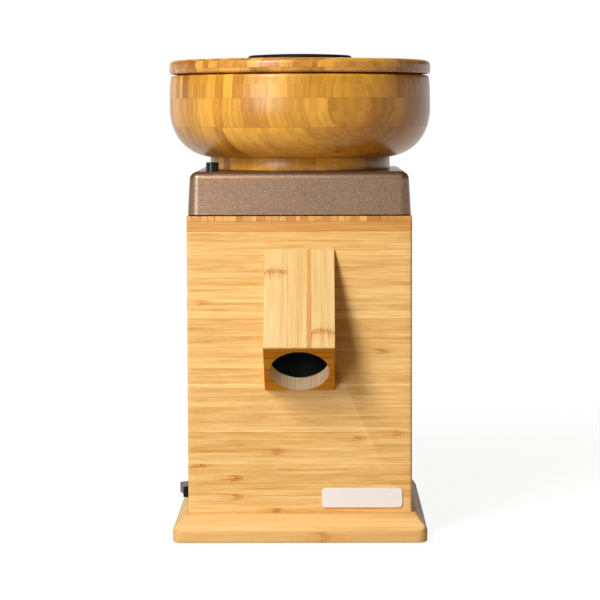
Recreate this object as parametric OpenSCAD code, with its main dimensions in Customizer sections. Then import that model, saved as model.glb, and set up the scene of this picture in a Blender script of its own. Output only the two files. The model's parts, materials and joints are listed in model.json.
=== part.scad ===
// Electric grain mill: a bamboo box on a base board, a bronze cap, a turned hopper bowl with
// a lid, and a spout on the front. A motor hung in the box turns the lower millstone; the
// upper stone hangs under the hopper, which screws up and down to set the fineness.
// Millimetres. Origin at the middle of the footprint, +Z up, the spout faces -Y.

/* [Base board] */
// Thickness of the base board
base_t = 20.5; // [16:0.5:28]
// Height of the upright edge below the chamfer
base_edge_h = 9.7; // [5:0.1:14]
// Width of the chamfer round the top of the base board
base_chamfer = 9; // [4:0.5:11]
// How far the base board stands out at each side of the box
base_out_side = 11.5; // [6:0.5:24]
// How far the base board stands out at the front and back of the box
base_out_front = 17; // [8:0.5:28]
// Plan radius of the base board's corners
base_corner_r = 8; // [3:0.5:12]

/* [Feet] */
// Radius of each rubber foot
pad_r = 10; // [7:0.5:12]
// Height of each rubber foot, most of it let into the base board
pad_h = 7; // [5:0.5:10]
// How far the feet stand below the base board
feet_proud = 1; // [0.5:0.1:4]
// Distance of each foot's centre from the edges of the base board
feet_inset = 16; // [15:0.5:18]

/* [Box] */
// Width of the box, left to right
box_w = 175; // [174:1:220]
// Depth of the box, front to back
box_d = 164; // [164:1:210]
// Height of the four panels
panel_h = 220; // [182:1:270]
// Thickness of the four panels
panel_t = 12; // [9:0.5:14]
// Thickness of the top board
top_t = 12; // [10:0.5:16]
// Radius on the upright edges of the box
box_edge_r = 2; // [1:0.5:4]
// Side of the square glue blocks in the corners
block_w = 14; // [12:1:18]

/* [Cap] */
// Height of the metal cap
cap_h = 33.5; // [33.5:0.5:40]
// How far the foot of the cap stands back from the box at each side
cap_inset = 0.5; // [0.2:0.1:1.5]
// How far the cap draws in at each side up to its fillet
cap_draft = 1.5; // [0.5:0.1:2]
// Radius of the fillet round the cap's top
cap_fillet = 6.5; // [4:0.5:7]
// Plan radius of the cap's corners at its foot
cap_corner_r = 9; // [8.5:0.5:14]
// Wall thickness of the cap
cap_wall = 3; // [2:0.5:3]
// Thickness of the black seal between cap and box
seal_t = 1; // [0.5:0.1:2]
// How far the seal stands back from the edge of the box
seal_inset = 1.6; // [1:0.1:3]

/* [Spout] */
// Width of the spout block
spout_w = 54.7; // [52:0.1:64]
// How far the lip stands out from the box
spout_reach = 51; // [48:0.5:60]
// Height of the sloping front face
spout_face_h = 72.9; // [66:0.1:80]
// Height of the whole block on the wall
spout_h = 112.1; // [106:0.1:125]
// Distance from the spout's top edge up to the top of the panels
spout_drop = 11.7; // [11:0.1:20]
// Diameter of the mouth
mouth_d = 46; // [42:0.5:46]
// Distance of the mouth's centre from the box
mouth_y = 23.2; // [23:0.1:26]
// Depth of the wooden rim above the mouth
mouth_depth = 10; // [6:0.5:12]
// Thickness of the block's front wall, measured level
spout_front = 6.4; // [5:0.1:7]

/* [Chute] */
// Wall thickness of the plastic chute
chute_wall = 2; // [1.5:0.1:3]
// Width of the chute where the mill chamber empties into it
chute_top_w = 34; // [26:1:38]
// Depth of the chute where the mill chamber empties into it
chute_top_d = 16; // [14:1:17]
// Distance of the chute's top from the shaft axis
chute_top_y = 58; // [57:0.5:59]
// Width of the chute above the mouth
chute_low_w = 42; // [34:1:43]
// Depth of the chute above the mouth
chute_low_d = 28; // [22:1:30]

/* [Nameplate] */
// Width of the bare plate
plate_w = 62.8; // [40:0.1:70]
// Height of the bare plate
plate_h = 15.2; // [10:0.1:20]
// Thickness of the bare plate
plate_t = 1.2; // [0.6:0.1:2]
// Corner radius of the bare plate
plate_r = 3; // [1:0.5:5]
// Distance of the plate's centre from the middle of the box
plate_x = 48.6; // [40:0.1:52]
// Height of the plate's centre above the base board
plate_z = 11.5; // [9:0.1:40]

/* [Motor] */
// Radius of the motor
motor_r = 50; // [48:0.5:50]
// Height of the stator's stack of laminations
stack_h = 60; // [40:1:70]
// Radius of the rotor
rotor_r = 28.6; // [27:0.1:29]
// Radius of the motor shaft
shaft_r = 6; // [5:0.5:6]
// Height of each end bell
bell_h = 14; // [13:0.5:18]
// Outer radius of the two ball bearings
bearing_r = 16; // [15:0.5:16]
// Width of the two ball bearings
bearing_w = 10; // [9:0.5:10]
// Radius of the cooling fan
fan_r = 41; // [34:1:41]
// Height of the fan's blades
fan_h = 10; // [6:1:14]
// Radius of the run capacitor
capacitor_r = 17.5; // [14:0.5:20]
// Height of the run capacitor
capacitor_h = 70; // [50:1:90]

/* [Mill] */
// Radius of both millstones
stone_r = 45; // [38:0.5:45]
// Thickness of each millstone
stone_t = 14; // [12:0.5:14]
// Gap between the stones at the finest setting
stone_gap = 0.5; // [0.3:0.1:1]
// Outer radius of the mill chamber
chamber_r = 73; // [72:0.5:73]
// Wall thickness of the mill chamber
chamber_wall = 3; // [2:0.5:3]
// Thickness of the mill chamber's floor
floor_t = 4; // [3.5:0.5:5]
// Outer radius of the threaded sleeve that carries the upper stone
sleeve_r = 62; // [60:0.5:62]
// Wall thickness of the threaded sleeve
sleeve_wall = 4; // [3:0.5:5]

/* [Hopper] */
// Radius of the foot ring under the bowl
ring_r = 73; // [70:0.5:80]
// Height of the foot ring
ring_h = 9.6; // [8:0.1:14]
// Radius of the bowl at its widest
bowl_r = 105.7; // [98:0.1:120]
// Height of the bowl
bowl_h = 66; // [62:0.5:90]
// Height of the bowl's round shoulder, from its foot to its widest part
bowl_turn_h = 42.2; // [36:0.1:50]
// Thickness of the bowl's wall at the rim
bowl_wall = 11; // [8:0.5:14]
// Radius of the throat through the bowl's floor
throat_r = 16; // [14:0.5:18]
// Gap between the foot ring and the cap at the finest setting
hopper_gap = 0.4; // [0.3:0.1:1]

/* [Lid] */
// How far the lid's edge stands out past the bowl's
lid_over = 0.05; // [-2:0.05:4]
// Thickness of the lid
lid_t = 11.6; // [8:0.1:16]
// Radius worked round the lid's top edge
lid_edge_r = 4.5; // [2:0.1:5]
// Radius of the dark grip disc on the lid
grip_r = 42.5; // [30:0.5:50]
// Height of the grip disc
grip_h = 5.4; // [3:0.1:8]

/* [Controls] */
// Radius of the hopper release pin
pin_r = 5; // [4:0.5:5]
// How far the pin stands above the cap
pin_rise = 7; // [6:0.5:9]
// Travel of the pin when it is pressed
pin_travel = 5; // [4:0.5:5]
// Distance of the pin from the left side of the box
pin_in_x = 19.5; // [19:0.5:21]
// Distance of the pin from the front of the box
pin_in_y = 16; // [15.5:0.5:18]
// Distance of the switch's centre from the front of the box
switch_in = 42; // [42:1:80]
// Height of the switch's centre above the base board
switch_z = 10.5; // [10:0.5:60]
// Length of the rocker
rocker_l = 22; // [18:0.5:26]
// Height of the rocker where it enters its frame
rocker_h = 10.2; // [9:0.1:12]
// Height of the rocker at its outer face
rocker_tip_h = 8.2; // [7:0.1:9]
// How far the rocker stands out of the box when level
rocker_out = 8; // [6:0.5:9]
// Tilt of the rocker each way from level
rocker_tilt = 10; // [6:1:12]

/* [Inlet and vents] */
// Width of the power inlet's flange
inlet_w = 50; // [46:1:54]
// Height of the power inlet's flange
inlet_h = 24; // [24:1:28]
// Height of the inlet's centre above the base board
inlet_z = 34; // [20:1:60]
// Distance of the inlet from the middle of the back
inlet_x = 40; // [30:1:44]
// Width of each vent grille
vent_w = 84; // [60:1:100]
// Height of each vent grille
vent_h = 38; // [26:1:44]

/* [Fits] */
// Radial clearance of a running fit
run_fit = 0.05; // [0.02:0.01:0.1]
// Clearance between pieces that are fitted together and stay put
seat_gap = 0.2; // [0.1:0.05:0.3]
// Clearance between pieces that slide or turn past each other
move_gap = 0.4; // [0.3:0.05:0.5]

/* [Hidden] */
$fn = 96;
cut = 1;                                   // how far a cut runs past the faces it opens

// Levels, from the table up
base_z = feet_proud;
base_top = base_z + base_t;
panel_top = base_top + panel_h;
board_top = panel_top + top_t;
cap_z = board_top + seal_t;
cap_top = cap_z + cap_h;
cap_roof = cap_top - cap_wall;
ring_z = cap_top + hopper_gap;
ring_top = ring_z + ring_h;
bowl_top = ring_top + bowl_h;
lid_top = bowl_top + lid_t;

// Plan sizes
lid_r = bowl_r + lid_over;
base_w = box_w + 2 * base_out_side;
base_d = box_d + 2 * base_out_front;
in_x = box_w / 2 - panel_t;                // inner faces of the side panels
in_y = box_d / 2 - panel_t;                // inner faces of the front and back panels
block_x = in_x - block_w / 2;
block_y = in_y - block_w / 2;
cap_w = box_w - 2 * cap_inset;
cap_d = box_d - 2 * cap_inset;

// Fasteners: shank radius, head radius, head height
case_screw = [2.2, 4.2, 3];
pad_screw = [2, 4, 2.4];
small_screw = [1.5, 3, 2];
mill_screw = [2, 3.6, 2.4];
motor_bolt = [2.5, 4.5, 4];
long_bolt = [2, 3.6, 2.5];

// Spout: outline points in the upright plane through the shaft axis
face_y = -box_d / 2;
spout_top_z = panel_top - spout_drop;
lip = [face_y - spout_reach, spout_top_z - spout_face_h];
spout_foot_z = spout_top_z - spout_h;
face_slope = spout_reach / spout_face_h;                 // level run for each mm of height
under_slope = (lip[1] - spout_foot_z) / spout_reach;     // fall for each mm towards the box
function rim_z(y) = spout_foot_z + mouth_depth + (face_y - y) * under_slope;
function spout_inner_y(z) = face_y - (spout_top_z - z) * face_slope + spout_front;
rim_front = [for (s = [(spout_front + mouth_depth * face_slope) / (1 + under_slope * face_slope)])
    [lip[0] + s, rim_z(lip[0] + s)]][0];
pocket_w = mouth_d + 1;
pocket_top = rim_front[1] + 7;

// Chute: straight walls from the mouth's rim up to the chamber's floor
chute_low_back = face_y - 2;
chute_low_z = rim_z(chute_low_back - chute_low_d / 2);
chute_front_low = chute_low_back - chute_low_d;
function blend_z(z, low, high) = low + (high - low) * (z - chute_low_z) / (board_top - chute_low_z);
function chute_front(z) = blend_z(z, chute_front_low, -chute_top_y - chute_top_d / 2);
function chute_back(z) = blend_z(z, chute_low_back, -chute_top_y + chute_top_d / 2);
function chute_half(z) = blend_z(z, chute_low_w, chute_top_w) / 2;

// Mill stack
floor_z = board_top + floor_t;
carrier_t = 3;
carrier_z = floor_z + 2;
stone_z = carrier_z + carrier_t;
upper_z = stone_z + stone_t + stone_gap;
holder_z = upper_z + stone_t;
holder_t = 4;
holder_top = holder_z + holder_t;
carrier_r = stone_r + 1.5;
sweep_top = carrier_z + 6.5;
chamber_top = floor_z + 16.5;
collar_top = cap_roof - 2.6;
collar_r_in = sleeve_r + move_gap;
boss_pcd = chamber_r - 5.3;
sleeve_z = stone_z + 7.5;
stop_z = collar_top + 0.3;
stop_t = 1.5;
lug_r = cap_d / 2 - cap_draft - cap_wall - 1;
key_w = 6;
key_in = 1.4;
eye_r = 11;                                // bore of the lower stone
feed_r = 12;                               // bore of the upper stone
chamber_screw_pcd = 60;
holder_screw_pcd = 52;

// Motor levels, hung from the top board
gasket_t = 1.5;
bell_top = panel_top - gasket_t;
stack_top = bell_top - bell_h;
stack_z = stack_top - stack_h;
low_bell_z = stack_z - bell_h;
bell_plate = 5;
bell_wall = 7;
bolt_pcd = motor_r - bell_wall / 2;
mount_pcd = 36;
seat_shoulder = 2.5;
up_bearing_z = bell_top - seat_shoulder - bearing_w;
low_bearing_z = low_bell_z + seat_shoulder;
bearing_boss = bearing_r + 4;
ball_r = 2.6;
ball_pcd = (bearing_r + shaft_r) / 2;
race_step = 1.5;                           // how far each race stays short of the ball circle
fan_z = low_bell_z - 2 - fan_h;
slots = 12;
slot_r = motor_r - 9;
cage_bars = 18;
cage_pcd = rotor_r - 2.8;

// Hopper release pin
pin_x = -box_w / 2 + pin_in_x;
pin_y = -box_d / 2 + pin_in_y;
pin_flange_top = cap_roof - 0.4;
pin_flange_z = pin_flange_top - 3;
guide_base = 2;
guide_top = board_top + 14;
stem_r = 2.5;
spring_r = 5.2;
wire_r = 0.45;
spring_turns = 6;
arm_tip_r = chamber_r + 0.8;

// Switch
switch_pos = [-box_w / 2, -box_d / 2 + switch_in, base_top + switch_z];
frame_l = rocker_l + 6;
frame_h = rocker_h + 3;
frame_t = 1.6;
well_l = rocker_l + 2.4;
well_h = rocker_h + 2 * 0.35;
pivot_in = 1.5;                            // pivot's depth behind the box's face
pivot_r = 1.2;

// Inlet and vents
inlet_pos = [-inlet_x, box_d / 2, base_top + inlet_z];
socket_w = 25;
socket_h = 17;
socket_deep = 16;
inlet_flange = 2.5;
pin_blade = [2, 4];
vent_border = 6;
vent_levels = [base_top + panel_h * 0.42, base_top + panel_h * 0.84];
slat_t = 2;
slat_pitch = 5.2;
capacitor_pos = [in_x - block_w - capacitor_r - 3, in_y - capacitor_r - 6];
clip_z = base_top + capacitor_h * 0.5;
clip_h = 14;
lead_r = 1.1;

bamboo = "#E4B36F";
dark_plastic = "#1E1C1B";
steel = "#B9BCC0";
cast_metal = "#A9ACAF";

// ---------------------------------------------------------------- shared shapes

// Rectangle with four round corners, centred on the origin
module rounded_rect(w, d, r) {
    square([w - 2 * r, d], center = true);
    square([w, d - 2 * r], center = true);
    for (sx = [-1, 1], sy = [-1, 1])
        translate([sx * (w / 2 - r), sy * (d / 2 - r)]) circle(r = r);
}

// Outline in the YZ plane, carried left and right of X = 0
module side_prism(points, w) {
    rotate([90, 0, 90]) linear_extrude(w, center = true) polygon(points);
}

module tube(r_out, r_in, h) {
    difference() {
        cylinder(r = r_out, h = h);
        translate([0, 0, -cut]) cylinder(r = r_in, h = h + 2 * cut);
    }
}

// Socket-head screw pointing up: its head hangs below z = 0
module screw(kind, length) {
    difference() {
        union() {
            translate([0, 0, -kind[2]]) cylinder(r = kind[1], h = kind[2]);
            cylinder(r = kind[0], h = length);
        }
        translate([0, 0, -kind[2] - cut])
            cylinder(r = kind[1] * 0.5, h = kind[2] * 0.6 + cut, $fn = 6);
    }
}

// Hole for that screw: a clear shank hole and a counterbore for the head
module screw_hole(kind, length) {
    cylinder(r = kind[0] + run_fit, h = length + 0.5);
    translate([0, 0, -kind[2] - cut]) cylinder(r = kind[1] + seat_gap, h = kind[2] + cut);
}

module at_corners(x, y) {
    for (sx = [-1, 1], sy = [-1, 1]) translate([sx * x, sy * y, 0]) children();
}

module in_ring(count, r, start = 0) {
    for (i = [0 : count - 1]) rotate([0, 0, start + i * 360 / count]) translate([r, 0, 0]) children();
}

// Insulated wire on a smooth curve through a list of points
module lead(points, r) {
    steps = 4;
    sides = 8;
    last = len(points) - 1;
    function at(i) = i < 0 ? 2 * points[0] - points[1]
        : i > last ? 2 * points[last] - points[last - 1] : points[i];
    function curve(i, t) = let (a = at(i - 1), b = at(i), c = at(i + 1), d = at(i + 2))
        b + t * (c - a) / 2 + t * t * (a - 2.5 * b + 2 * c - d / 2)
        + pow(t, 3) * (1.5 * (b - c) + (d - a) / 2);
    path = [for (i = [0 : last - 1], k = [0 : steps - 1]) curve(i, k / steps), points[last]];
    rings = len(path);
    function unit(v) = v / norm(v);
    ring_points = [for (i = [0 : rings - 1])
        let (along = unit(path[min(i + 1, rings - 1)] - path[max(i - 1, 0)]),
            across = unit(cross(along, [0.8, 0.3, 0.5])), up = cross(across, along))
        for (k = [0 : sides - 1])
            let (a = k * 360 / sides) path[i] + r * (cos(a) * across + sin(a) * up)];
    skin = [for (i = [0 : rings - 2], k = [0 : sides - 1])
        let (n = (k + 1) % sides, p = i * sides)
        each [[p + k, p + n, p + sides + k], [p + n, p + sides + n, p + sides + k]]];
    top = (rings - 1) * sides;
    ends = [for (k = [1 : sides - 2]) each [[0, k + 1, k], [top, top + k, top + k + 1]]];
    polyhedron(ring_points, concat(skin, ends));
}

// ---------------------------------------------------------------- base and feet

module base_board() {
    rise = base_t - base_edge_h;
    function edge(w) = [[-w / 2, 0], [w / 2, 0], [w / 2, base_edge_h],
        [w / 2 - base_chamfer, base_t], [base_chamfer - w / 2, base_t], [-w / 2, base_edge_h]];
    color(bamboo) translate([0, 0, base_z]) difference() {
        intersection() {
            linear_extrude(base_t) rounded_rect(base_w, base_d, base_corner_r);
            side_prism(edge(base_d), base_w + cut);
            rotate([0, 0, 90]) side_prism(edge(base_w), base_d + cut);
        }
        at_corners(base_w / 2 - feet_inset, base_d / 2 - feet_inset) {
            translate([0, 0, -cut]) cylinder(r = pad_r + seat_gap, h = pad_h - feet_proud + cut);
            cylinder(r = pad_screw[0] + run_fit, h = pad_h + 9.5);
        }
        at_corners(block_x, block_y) {
            translate([0, 0, case_screw[2]]) screw_hole(case_screw, base_t);
        }
    }
}

module rubber_feet() {
    color("#2A2A2A") at_corners(base_w / 2 - feet_inset, base_d / 2 - feet_inset) difference() {
        cylinder(r = pad_r, h = pad_h);
        translate([0, 0, pad_screw[2] + 0.8]) screw_hole(pad_screw, pad_h);
    }
}

module foot_screws() {
    color(steel) at_corners(base_w / 2 - feet_inset, base_d / 2 - feet_inset)
        translate([0, 0, pad_screw[2] + 0.8]) screw(pad_screw, pad_h + 5);
}

// ---------------------------------------------------------------- box

// Board that closes the front or back, its two outer upright edges rounded
module end_board() {
    linear_extrude(panel_h) {
        translate([-box_w / 2, box_edge_r]) square([box_w, panel_t - box_edge_r]);
        translate([box_edge_r - box_w / 2, 0]) square([box_w - 2 * box_edge_r, panel_t]);
        for (s = [-1, 1]) translate([s * (box_w / 2 - box_edge_r), box_edge_r]) circle(r = box_edge_r);
    }
}

module front_panel() {
    color(bamboo) difference() {
        translate([0, face_y, base_top]) end_board();
        chute_body(move_gap);
        spout_screw_places() cylinder(r = small_screw[0] + run_fit, h = panel_t + 2 * cut);
    }
}

module back_panel() {
    color(bamboo) difference() {
        translate([0, -face_y, base_top]) mirror([0, 1, 0]) end_board();
        for (z = vent_levels) translate([0, -face_y - panel_t / 2, z])
            cube([vent_w - 2 * vent_border, panel_t + 2 * cut, vent_h - 2 * vent_border], center = true);
        translate(inlet_pos - [0, panel_t / 2, 0])
            cube([socket_w + 3.4, panel_t + 2 * cut, socket_h + 3.4], center = true);
        trim_screw_places() cylinder(r = small_screw[0] + run_fit, h = panel_t - 1.5);
    }
}

module side_board() {
    translate([-panel_t / 2, -in_y, base_top]) cube([panel_t, 2 * in_y, panel_h]);
}

module left_panel() {
    color(bamboo) difference() {
        translate([panel_t / 2 - box_w / 2, 0, 0]) side_board();
        translate(switch_pos + [panel_t / 2, 0, 0])
            cube([panel_t + 2 * cut, frame_l - 3.6, frame_h - 1.2], center = true);
    }
}

module right_panel() {
    color(bamboo) translate([box_w / 2 - panel_t / 2, 0, 0]) side_board();
}

module corner_blocks() {
    color("#D9A45F") at_corners(block_x, block_y) difference() {
        translate([-block_w / 2, -block_w / 2, base_top]) cube([block_w, block_w, panel_h]);
        translate([0, 0, base_top - cut]) cylinder(r = case_screw[0] + run_fit, h = 25 + cut);
        translate([0, 0, panel_top - 25]) cylinder(r = case_screw[0] + run_fit, h = 25 + cut);
    }
}

module case_screws() {
    color(steel) at_corners(block_x, block_y) {
        translate([0, 0, base_z + case_screw[2]]) screw(case_screw, base_t + 20);
        translate([0, 0, board_top - case_screw[2]]) mirror([0, 0, 1]) screw(case_screw, top_t + 16);
    }
}

module top_board() {
    color(bamboo) difference() {
        translate([0, 0, panel_top]) linear_extrude(top_t) rounded_rect(box_w, box_d, box_edge_r);
        translate([0, 0, panel_top - cut]) cylinder(r = shaft_r + 5, h = top_t + 2 * cut);
        chute_body(move_gap);
        at_corners(block_x, block_y)
            translate([0, 0, board_top - case_screw[2]]) mirror([0, 0, 1]) screw_hole(case_screw, top_t);
        in_ring(4, mount_pcd)
            translate([0, 0, board_top - motor_bolt[2]]) mirror([0, 0, 1]) screw_hole(motor_bolt, top_t);
        in_ring(4, chamber_screw_pcd, 45)
            translate([0, 0, board_top - 9.5]) cylinder(r = mill_screw[0] + run_fit, h = 9.5 + cut);
        cap_screw_places()
            translate([0, 0, -cut]) cylinder(r = small_screw[0] + run_fit, h = top_t + 2 * cut);
    }
}

// ---------------------------------------------------------------- cap

module cap_seal() {
    color("#141210") translate([0, 0, board_top]) linear_extrude(seal_t) difference() {
        rounded_rect(box_w - 2 * seal_inset, box_d - 2 * seal_inset, cap_corner_r - 1);
        rounded_rect(cap_w - 2 * cap_wall - 7, cap_d - 2 * cap_wall - 7, cap_corner_r - cap_wall);
    }
}

// Half outline of the cap's wall and top, from a line at distance d inside its foot
module cap_outline(d) {
    shoulder = cap_h - cap_fillet;
    top_in = d - cap_draft;
    difference() {
        union() {
            polygon([[0, 0], [d, 0], [top_in, shoulder], [top_in - cap_fillet, cap_h], [0, cap_h]]);
            translate([top_in - cap_fillet, shoulder]) circle(r = cap_fillet);
        }
        translate([-2 * d, -cut]) square([2 * d, cap_h + 2 * cut]);
    }
}

module cap_solid() {
    r = cap_corner_r;
    x = cap_w / 2 - r;
    y = cap_d / 2 - r;
    for (s = [-1, 1]) {
        translate([0, s * y, 0]) rotate([90, 0, s > 0 ? 90 : -90])
            linear_extrude(2 * x, center = true) cap_outline(r);
        translate([s * x, 0, 0]) rotate([90, 0, s > 0 ? 0 : 180])
            linear_extrude(2 * y, center = true) cap_outline(r);
    }
    at_corners(x, y) rotate_extrude() cap_outline(r);
    translate([-x, -y, 0]) cube([2 * x, 2 * y, cap_h]);
}

module cap_screw_places() {
    at_corners(in_x - 5.5, in_y - block_w - 8) translate([0, 0, panel_top]) children();
}

module cap_shell() {
    wall_in = cap_draft + cap_wall;
    color("#A88C76") difference() {
        union() {
            difference() {
                translate([0, 0, cap_z]) cap_solid();
                translate([0, 0, cap_z - cut]) linear_extrude(cap_h - cap_wall + cut)
                    rounded_rect(cap_w - 2 * wall_in, cap_d - 2 * wall_in, cap_corner_r - wall_in);
            }
            cap_screw_places() translate([0, 0, top_t + seal_t]) cylinder(r = 4.5, h = cap_h - cap_wall);
        }
        translate([0, 0, cap_roof - cut]) cylinder(r = sleeve_r + 4, h = cap_wall + 2 * cut);
        translate([pin_x, pin_y, cap_roof - cut]) cylinder(r = pin_r + 0.3, h = cap_wall + 2 * cut);
        cap_screw_places() cylinder(r = small_screw[0] + run_fit, h = top_t + seal_t + 12);
    }
}

module cap_screws() {
    color(steel) cap_screw_places() screw(small_screw, top_t + seal_t + 10);
}

// ---------------------------------------------------------------- spout and chute

// Straight-sided duct between two levels, its four walls moved out by grow
module chute_space(low, high, grow) {
    function level(z) = [for (p = [[-1, 0], [1, 0], [1, 1], [-1, 1]])
        [p[0] * (chute_half(z) + grow), p[1] == 0 ? chute_front(z) - grow : chute_back(z) + grow, z]];
    polyhedron(concat(level(low), level(high)),
        [[0, 1, 2, 3], [7, 6, 5, 4], [0, 4, 5, 1], [1, 5, 6, 2], [2, 6, 7, 3], [3, 7, 4, 0]]);
}

// Space that the chute fills, from below the mouth's rim to the chamber's floor
module chute_body(grow) {
    chute_space(spout_foot_z - 5, board_top + (grow == 0 ? 0 : cut), grow);
}

module above_rim(lift) {
    side_prism([[lip[0], rim_z(lip[0]) + lift], [0, rim_z(0) + lift], [0, board_top + 2 * cut],
        [lip[0], board_top + 2 * cut]], 2 * spout_w);
}

module spout_screw_places() {
    for (s = [-1, 1], z = [spout_top_z - 60, spout_top_z - 25])
        translate([s * (spout_w / 2 - 3.2), -in_y + cut, z]) rotate([90, 0, 0]) children();
}

module spout_block() {
    color("#EBC283") difference() {
        side_prism([[face_y, spout_top_z], lip, [face_y, spout_foot_z]], spout_w);
        translate([0, face_y - mouth_y, spout_foot_z - cut])
            cylinder(d = mouth_d, h = rim_front[1] - spout_foot_z + cut);
        side_prism([rim_front, [face_y + cut, rim_z(face_y + cut)], [face_y + cut, pocket_top],
            [spout_inner_y(pocket_top), pocket_top]], pocket_w);
        intersection() {
            chute_body(move_gap);
            above_rim(1);                  // the pocket has already opened the last millimetre
        }
        spout_screw_places() cylinder(r = small_screw[0] + run_fit, h = panel_t + cut + 12.5);
    }
}

module spout_screws() {
    color(steel) spout_screw_places() translate([0, 0, cut]) screw(small_screw, panel_t + 12);
}

module chute_liner() {
    flange_w = pocket_w - 2 * seat_gap;
    color(dark_plastic) difference() {
        union() {
            intersection() {
                chute_body(0);
                above_rim(0);
            }
            side_prism([rim_front + [0.5, -0.3], [face_y, rim_z(face_y) + 0.1],
                [face_y, rim_z(face_y) + 2.6], rim_front + [1.6, 1.8]], flange_w);
        }
        chute_space(spout_foot_z - 6, board_top + cut, -chute_wall);
    }
}

module nameplate() {
    color("#E6E3E0") translate([plate_x, face_y, base_top + plate_z]) rotate([90, 0, 0])
        linear_extrude(plate_t) rounded_rect(plate_w, plate_h, plate_r);
}

// ---------------------------------------------------------------- back of the box

module vent_grilles() {
    open_w = vent_w - 2 * vent_border - 2 * seat_gap;
    open_h = vent_h - 2 * vent_border - 2 * seat_gap;
    rows = floor((open_h - slat_t) / slat_pitch);
    color(dark_plastic) for (z = vent_levels) translate([0, -face_y, z]) difference() {
        rotate([-90, 0, 0]) translate([0, 0, -6]) union() {
            translate([0, 0, 6]) linear_extrude(2) rounded_rect(vent_w, vent_h, 3);
            linear_extrude(8) square([open_w, open_h], center = true);
        }
        for (i = [0 : rows - 1]) translate([0, 0, (i - (rows - 1) / 2) * slat_pitch])
            cube([open_w - 6, 20, slat_pitch - slat_t], center = true);
        for (sx = [-1, 1], sz = [-1, 1])
            translate([sx * (vent_w / 2 - 3.2), 0, sz * (vent_h / 2 - 3.2)]) rotate([90, 0, 0])
                translate([0, 0, -2 - cut]) cylinder(r = small_screw[0] + run_fit, h = 2 + 2 * cut);
    }
}

// Small screws that hold the vents, the inlet and the capacitor's clip, driven along -Y
module trim_screw_places() {
    for (z = vent_levels, sx = [-1, 1], sz = [-1, 1])
        translate([sx * (vent_w / 2 - 3.2), -face_y, z + sz * (vent_h / 2 - 3.2)])
            rotate([90, 0, 0]) children();
    for (sx = [-1, 1]) translate(inlet_pos + [sx * (inlet_w / 2 - 5), 0, 0])
        rotate([90, 0, 0]) children();
}

module trim_screws() {
    color("#2B2B2B") trim_screw_places() translate([0, 0, -2.5]) screw(small_screw, panel_t);
}

module power_inlet() {
    color(dark_plastic) translate(inlet_pos) difference() {
        union() {
            rotate([-90, 0, 0]) linear_extrude(inlet_flange) rounded_rect(inlet_w, inlet_h, 3);
            translate([0, (inlet_flange - 20) / 2, 0])
                cube([socket_w + 3, 20 + inlet_flange, socket_h + 3], center = true);
        }
        rotate([-90, 0, 0]) translate([0, 0, inlet_flange - socket_deep]) linear_extrude(socket_deep + cut)
            polygon([[-socket_w / 2, -socket_h / 2 + 4], [4 - socket_w / 2, -socket_h / 2],
                [socket_w / 2 - 4, -socket_h / 2], [socket_w / 2, -socket_h / 2 + 4],
                [socket_w / 2, socket_h / 2], [-socket_w / 2, socket_h / 2]]);
        inlet_blades(30);
        for (sx = [-1, 1]) translate([sx * (inlet_w / 2 - 5), -cut, 0]) rotate([-90, 0, 0])
            cylinder(r = small_screw[0] + run_fit, h = inlet_flange + 2 * cut);
    }
}

module inlet_blades(length) {
    for (p = [[-7, -2], [7, -2], [0, 3.4]])
        translate([p[0], -12 - length / 2, p[1]])
            cube([pin_blade[0], length, pin_blade[1]], center = true);
}

module inlet_pins() {
    color("#C8A45A") translate(inlet_pos + [0, 9.5, 0]) inlet_blades(22);
}

// ---------------------------------------------------------------- switch

module switch_housing() {
    inner = 14;
    color(dark_plastic) translate(switch_pos) difference() {
        union() {
            translate([-frame_t, -frame_l / 2, -frame_h / 2]) cube([frame_t, frame_l, frame_h]);
            translate([0, -frame_l / 2 + 2, -frame_h / 2 + 0.8])
                cube([inner + 2, frame_l - 4, frame_h - 1.6]);
            for (s = [-1, 1]) translate([inner + 2, s * 8 - 0.4, -3]) cube([7, 0.8, 6]);
        }
        translate([-frame_t - cut, -well_l / 2, -well_h / 2])
            cube([frame_t + cut + inner, well_l, well_h]);
        translate([pivot_in, 0, -frame_h]) cylinder(r = pivot_r + run_fit, h = 2 * frame_h);
    }
}

// Rocker with a shallow valley across its outer face, tilted so its front end stands out
module switch_rocker() {
    reach = rocker_out + pivot_in;
    tip = rocker_tip_h / 2;
    root = rocker_h / 2;
    color("#242220") translate(switch_pos + [pivot_in, 0, 0]) rotate([0, 0, rocker_tilt]) union() {
        intersection() {
            translate([0, 0, -root]) linear_extrude(2 * root)
                polygon([[-reach, -rocker_l / 2], [1.5 - reach, 0], [-reach, rocker_l / 2],
                    [-1, rocker_l / 2], [4, 5], [4, -5], [-1, -rocker_l / 2]]);
            rotate([90, 0, 0]) linear_extrude(rocker_l + cut, center = true)
                polygon([[-reach - cut, -tip], [-reach, -tip], [-pivot_in - frame_t, -root],
                    [cut + 4, -root], [cut + 4, root], [-pivot_in - frame_t, root], [-reach, tip],
                    [-reach - cut, tip]]);
        }
        translate([0, 0, -frame_h / 2 + 1.4]) cylinder(r = pivot_r, h = frame_h - 2.8);
    }
}

// ---------------------------------------------------------------- wiring

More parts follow.
